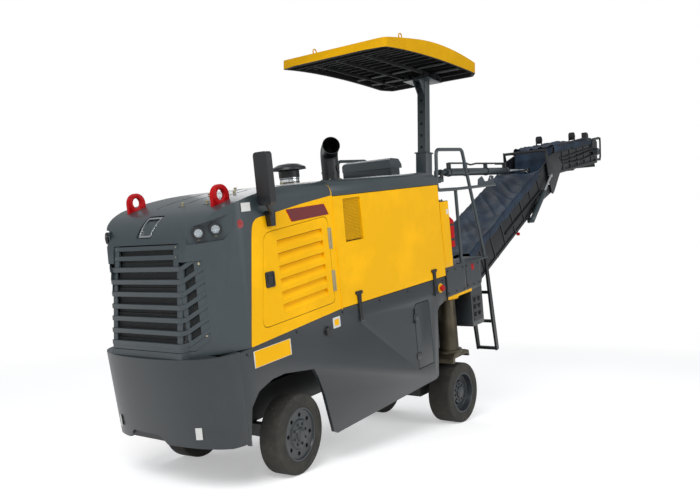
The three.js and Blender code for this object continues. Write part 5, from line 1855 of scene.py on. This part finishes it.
def skin_through(rows):
    """An open skin through rows of points, and its area in square metres."""
    form = bmesh.new()
    grid = [[form.verts.new(point) for point in row] for row in rows]
    for first, second in zip(grid, grid[1:]):
        for j in range(len(first) - 1):
            form.faces.new((first[j], first[j + 1], second[j + 1], second[j]))
    bmesh.ops.recalc_face_normals(form, faces=form.faces)
    return form, sum(face.calc_area() for face in form.faces) / 1e6


def tarpaulin(name, node, body, section, start, end, half_width, seed):
    """A draped strip: over one side plate, across the trough and down past the other."""
    drop, across_steps, long_steps = 112, 72, 200
    span = 2 * (half_width + drop)
    rows = []
    for i in range(long_steps + 1):
        y = start + (end - start) * i / long_steps
        row = []
        for j in range(across_steps + 1):
            reach = span * (j / across_steps - 0.5)
            side = math.copysign(1, reach)
            over = max(0.0, abs(reach) - half_width)
            ragged = 1 - 0.35 * (0.5 + 0.5 * noise.noise(Vector((y / 170, side * 3, seed))))
            x = side * (min(abs(reach), half_width) + min(over, 12) * 0.6)
            inward = max(0.0, 1 - (x / half_width) ** 2)
            dip = -34 * inward + 10 * (1 - inward)
            folds = noise.noise(Vector((x / 260 + y / 300, y / 420 - x / 380, seed))) * 40
            ridges = (1 - abs(noise.noise(Vector((x / 210 + y / 190, y / 700, seed + 9))))) ** 4 * 40
            fine = noise.noise(Vector((x / 90 + y / 120, y / 140, seed + 3))) * 6
            wave = noise.noise(Vector((y / 60, side * 5, seed + 5))) * 10 * min(1, over / 40)
            hang = over * ragged
            level = trough_top(section, y) + 18 + (
                dip + (folds + ridges) * (0.35 + 0.65 * inward) + fine
            ) - hang
            if over > 0:
                level = trough_top(section, y) + 22 + fine * 0.4 - hang
            row.append((x + side * max(0.0, wave + 2) * min(1, over / 20), y, level))
        rows.append(row)
    form, area = skin_through(rows)
    cloth = thing(name, form, upright)
    wall = cloth.modifiers.new("thickness", "SOLIDIFY")
    wall.thickness, wall.offset = 0.0015, 0.0
    length = (end - start) / math.cos(SLOPES[section]) / 1000
    round(area / length, 3)
    return complete(cloth, coated_cloth, body, "sheet", node, angle=80)


def fold_curtain():
    """A narrow strip of the same cloth that closes the upper section's inner mouth."""
    start, drop, across_steps, down_steps = 5905, 380, 40, 40
    rows = []
    for i in range(down_steps + 1):
        share = i / down_steps
        row = []
        for j in range(across_steps + 1):
            x = 284 * (2 * j / across_steps - 1)
            fold = noise.noise(Vector((x / 120, share * 1.5, 21))) * 26 * math.sin(math.pi * share)
            bulge = 60 * math.sin(math.pi * share * 0.8)
            row.append((x, start - bulge + fold, trough_top("upper", start) + 4 - drop * share))
        rows.append(row)
    form, area = skin_through(rows)
    cloth = thing("fold_curtain", form, upright)
    wall = cloth.modifiers.new("thickness", "SOLIDIFY")
    wall.thickness, wall.offset = 0.0015, 0.0
    round(area / 0.568, 3)
    return complete(cloth, coated_cloth, "upper_conveyor", "sheet", angle=80)


fold_curtain()
tarpaulin("lower_cloth", "lower_tarpaulin", "lower_conveyor", "lower", 3330, 5320, 304, 4)
tarpaulin("upper_cloth", "upper_tarpaulin", "upper_conveyor", "upper", 5880, 7400, 304, 17)


# ---------- milling drum ----------
# A steel drum wound with tool holders in a helix from both ends, under a welded housing.
refined("drum_housing", edge=3)
drum_place = body_frame @ at(0, 2583, 215) @ Matrix.Rotation(math.radians(90), 4, "Y")
core = lathe(rounded([(60, -250), (226, -250, 4), (226, 250, 4), (60, 250)]), 72)
add(
    "drum_core", core, bronze_steel, "drum_steel", "milling_drum", angle=40, body="milling_drum",
    place=drum_place
)
PICKS, TURNS = 56, 3.2
holder_spots, holder_ways = [], []
for i in range(PICKS):
    share = i / (PICKS - 1)
    angle = 2 * math.pi * TURNS * abs(share - 0.5) * 2
    holder_spots.append((222 * math.cos(angle), 222 * math.sin(angle), -232 + 464 * share))
    holder_ways.append((math.cos(angle), math.sin(angle), 0))
holder = merged(
    prism([(-26, -18), (26, -18), (20, 18), (-16, 18)], "Z", 0, 44),
    placed(cylinder(13, 40, 16, 9), at(0, 0, 40)), placed(cylinder(8, 10, 12, 2), at(0, 0, 68))
)
add_studs(
    "drum_picks", holder, holder_spots, holder_ways, bronze_steel, "drum_steel", body="milling_drum",
    place=drum_place
)

# ---------- floor ----------
# A plain pale floor that keeps the machine's shadow and is white to the camera and to gloss.
def floor():
    bpy.ops.mesh.primitive_plane_add(size=160)
    sheet = bpy.context.object
    sheet.name = "floor"
    finish = Finish("floor_white", (0.86, 0.86, 0.86), 0.9)
    ways = finish.node("ShaderNodeLightPath")
    seen = Value(finish, ways.socket.node.outputs["Is Camera Ray"])
    glossy = Value(finish, ways.socket.node.outputs["Is Glossy Ray"])
    x, y, z = finish.parts(finish.place())
    far = (x * x + y * y).math("SQRT").above(5.0, 4.0)
    white = seen.math("MAXIMUM", glossy)
    finish.set("Base Color", finish.blend(far * white, (0.86, 0.86, 0.86), (0, 0, 0)))
    finish.set(
        "Emission Color", finish.blend(white, (0, 0, 0), finish.blend(far, (0.4, 0.4, 0.4), (1, 1, 1)))
    )
    finish.set("Emission Strength", 1.0)
    finish.set("Specular IOR Level", 0.0)
    sheet.data.materials.append(finish.material)


floor()

bpy.context.scene.view_settings.view_transform = "Standard"
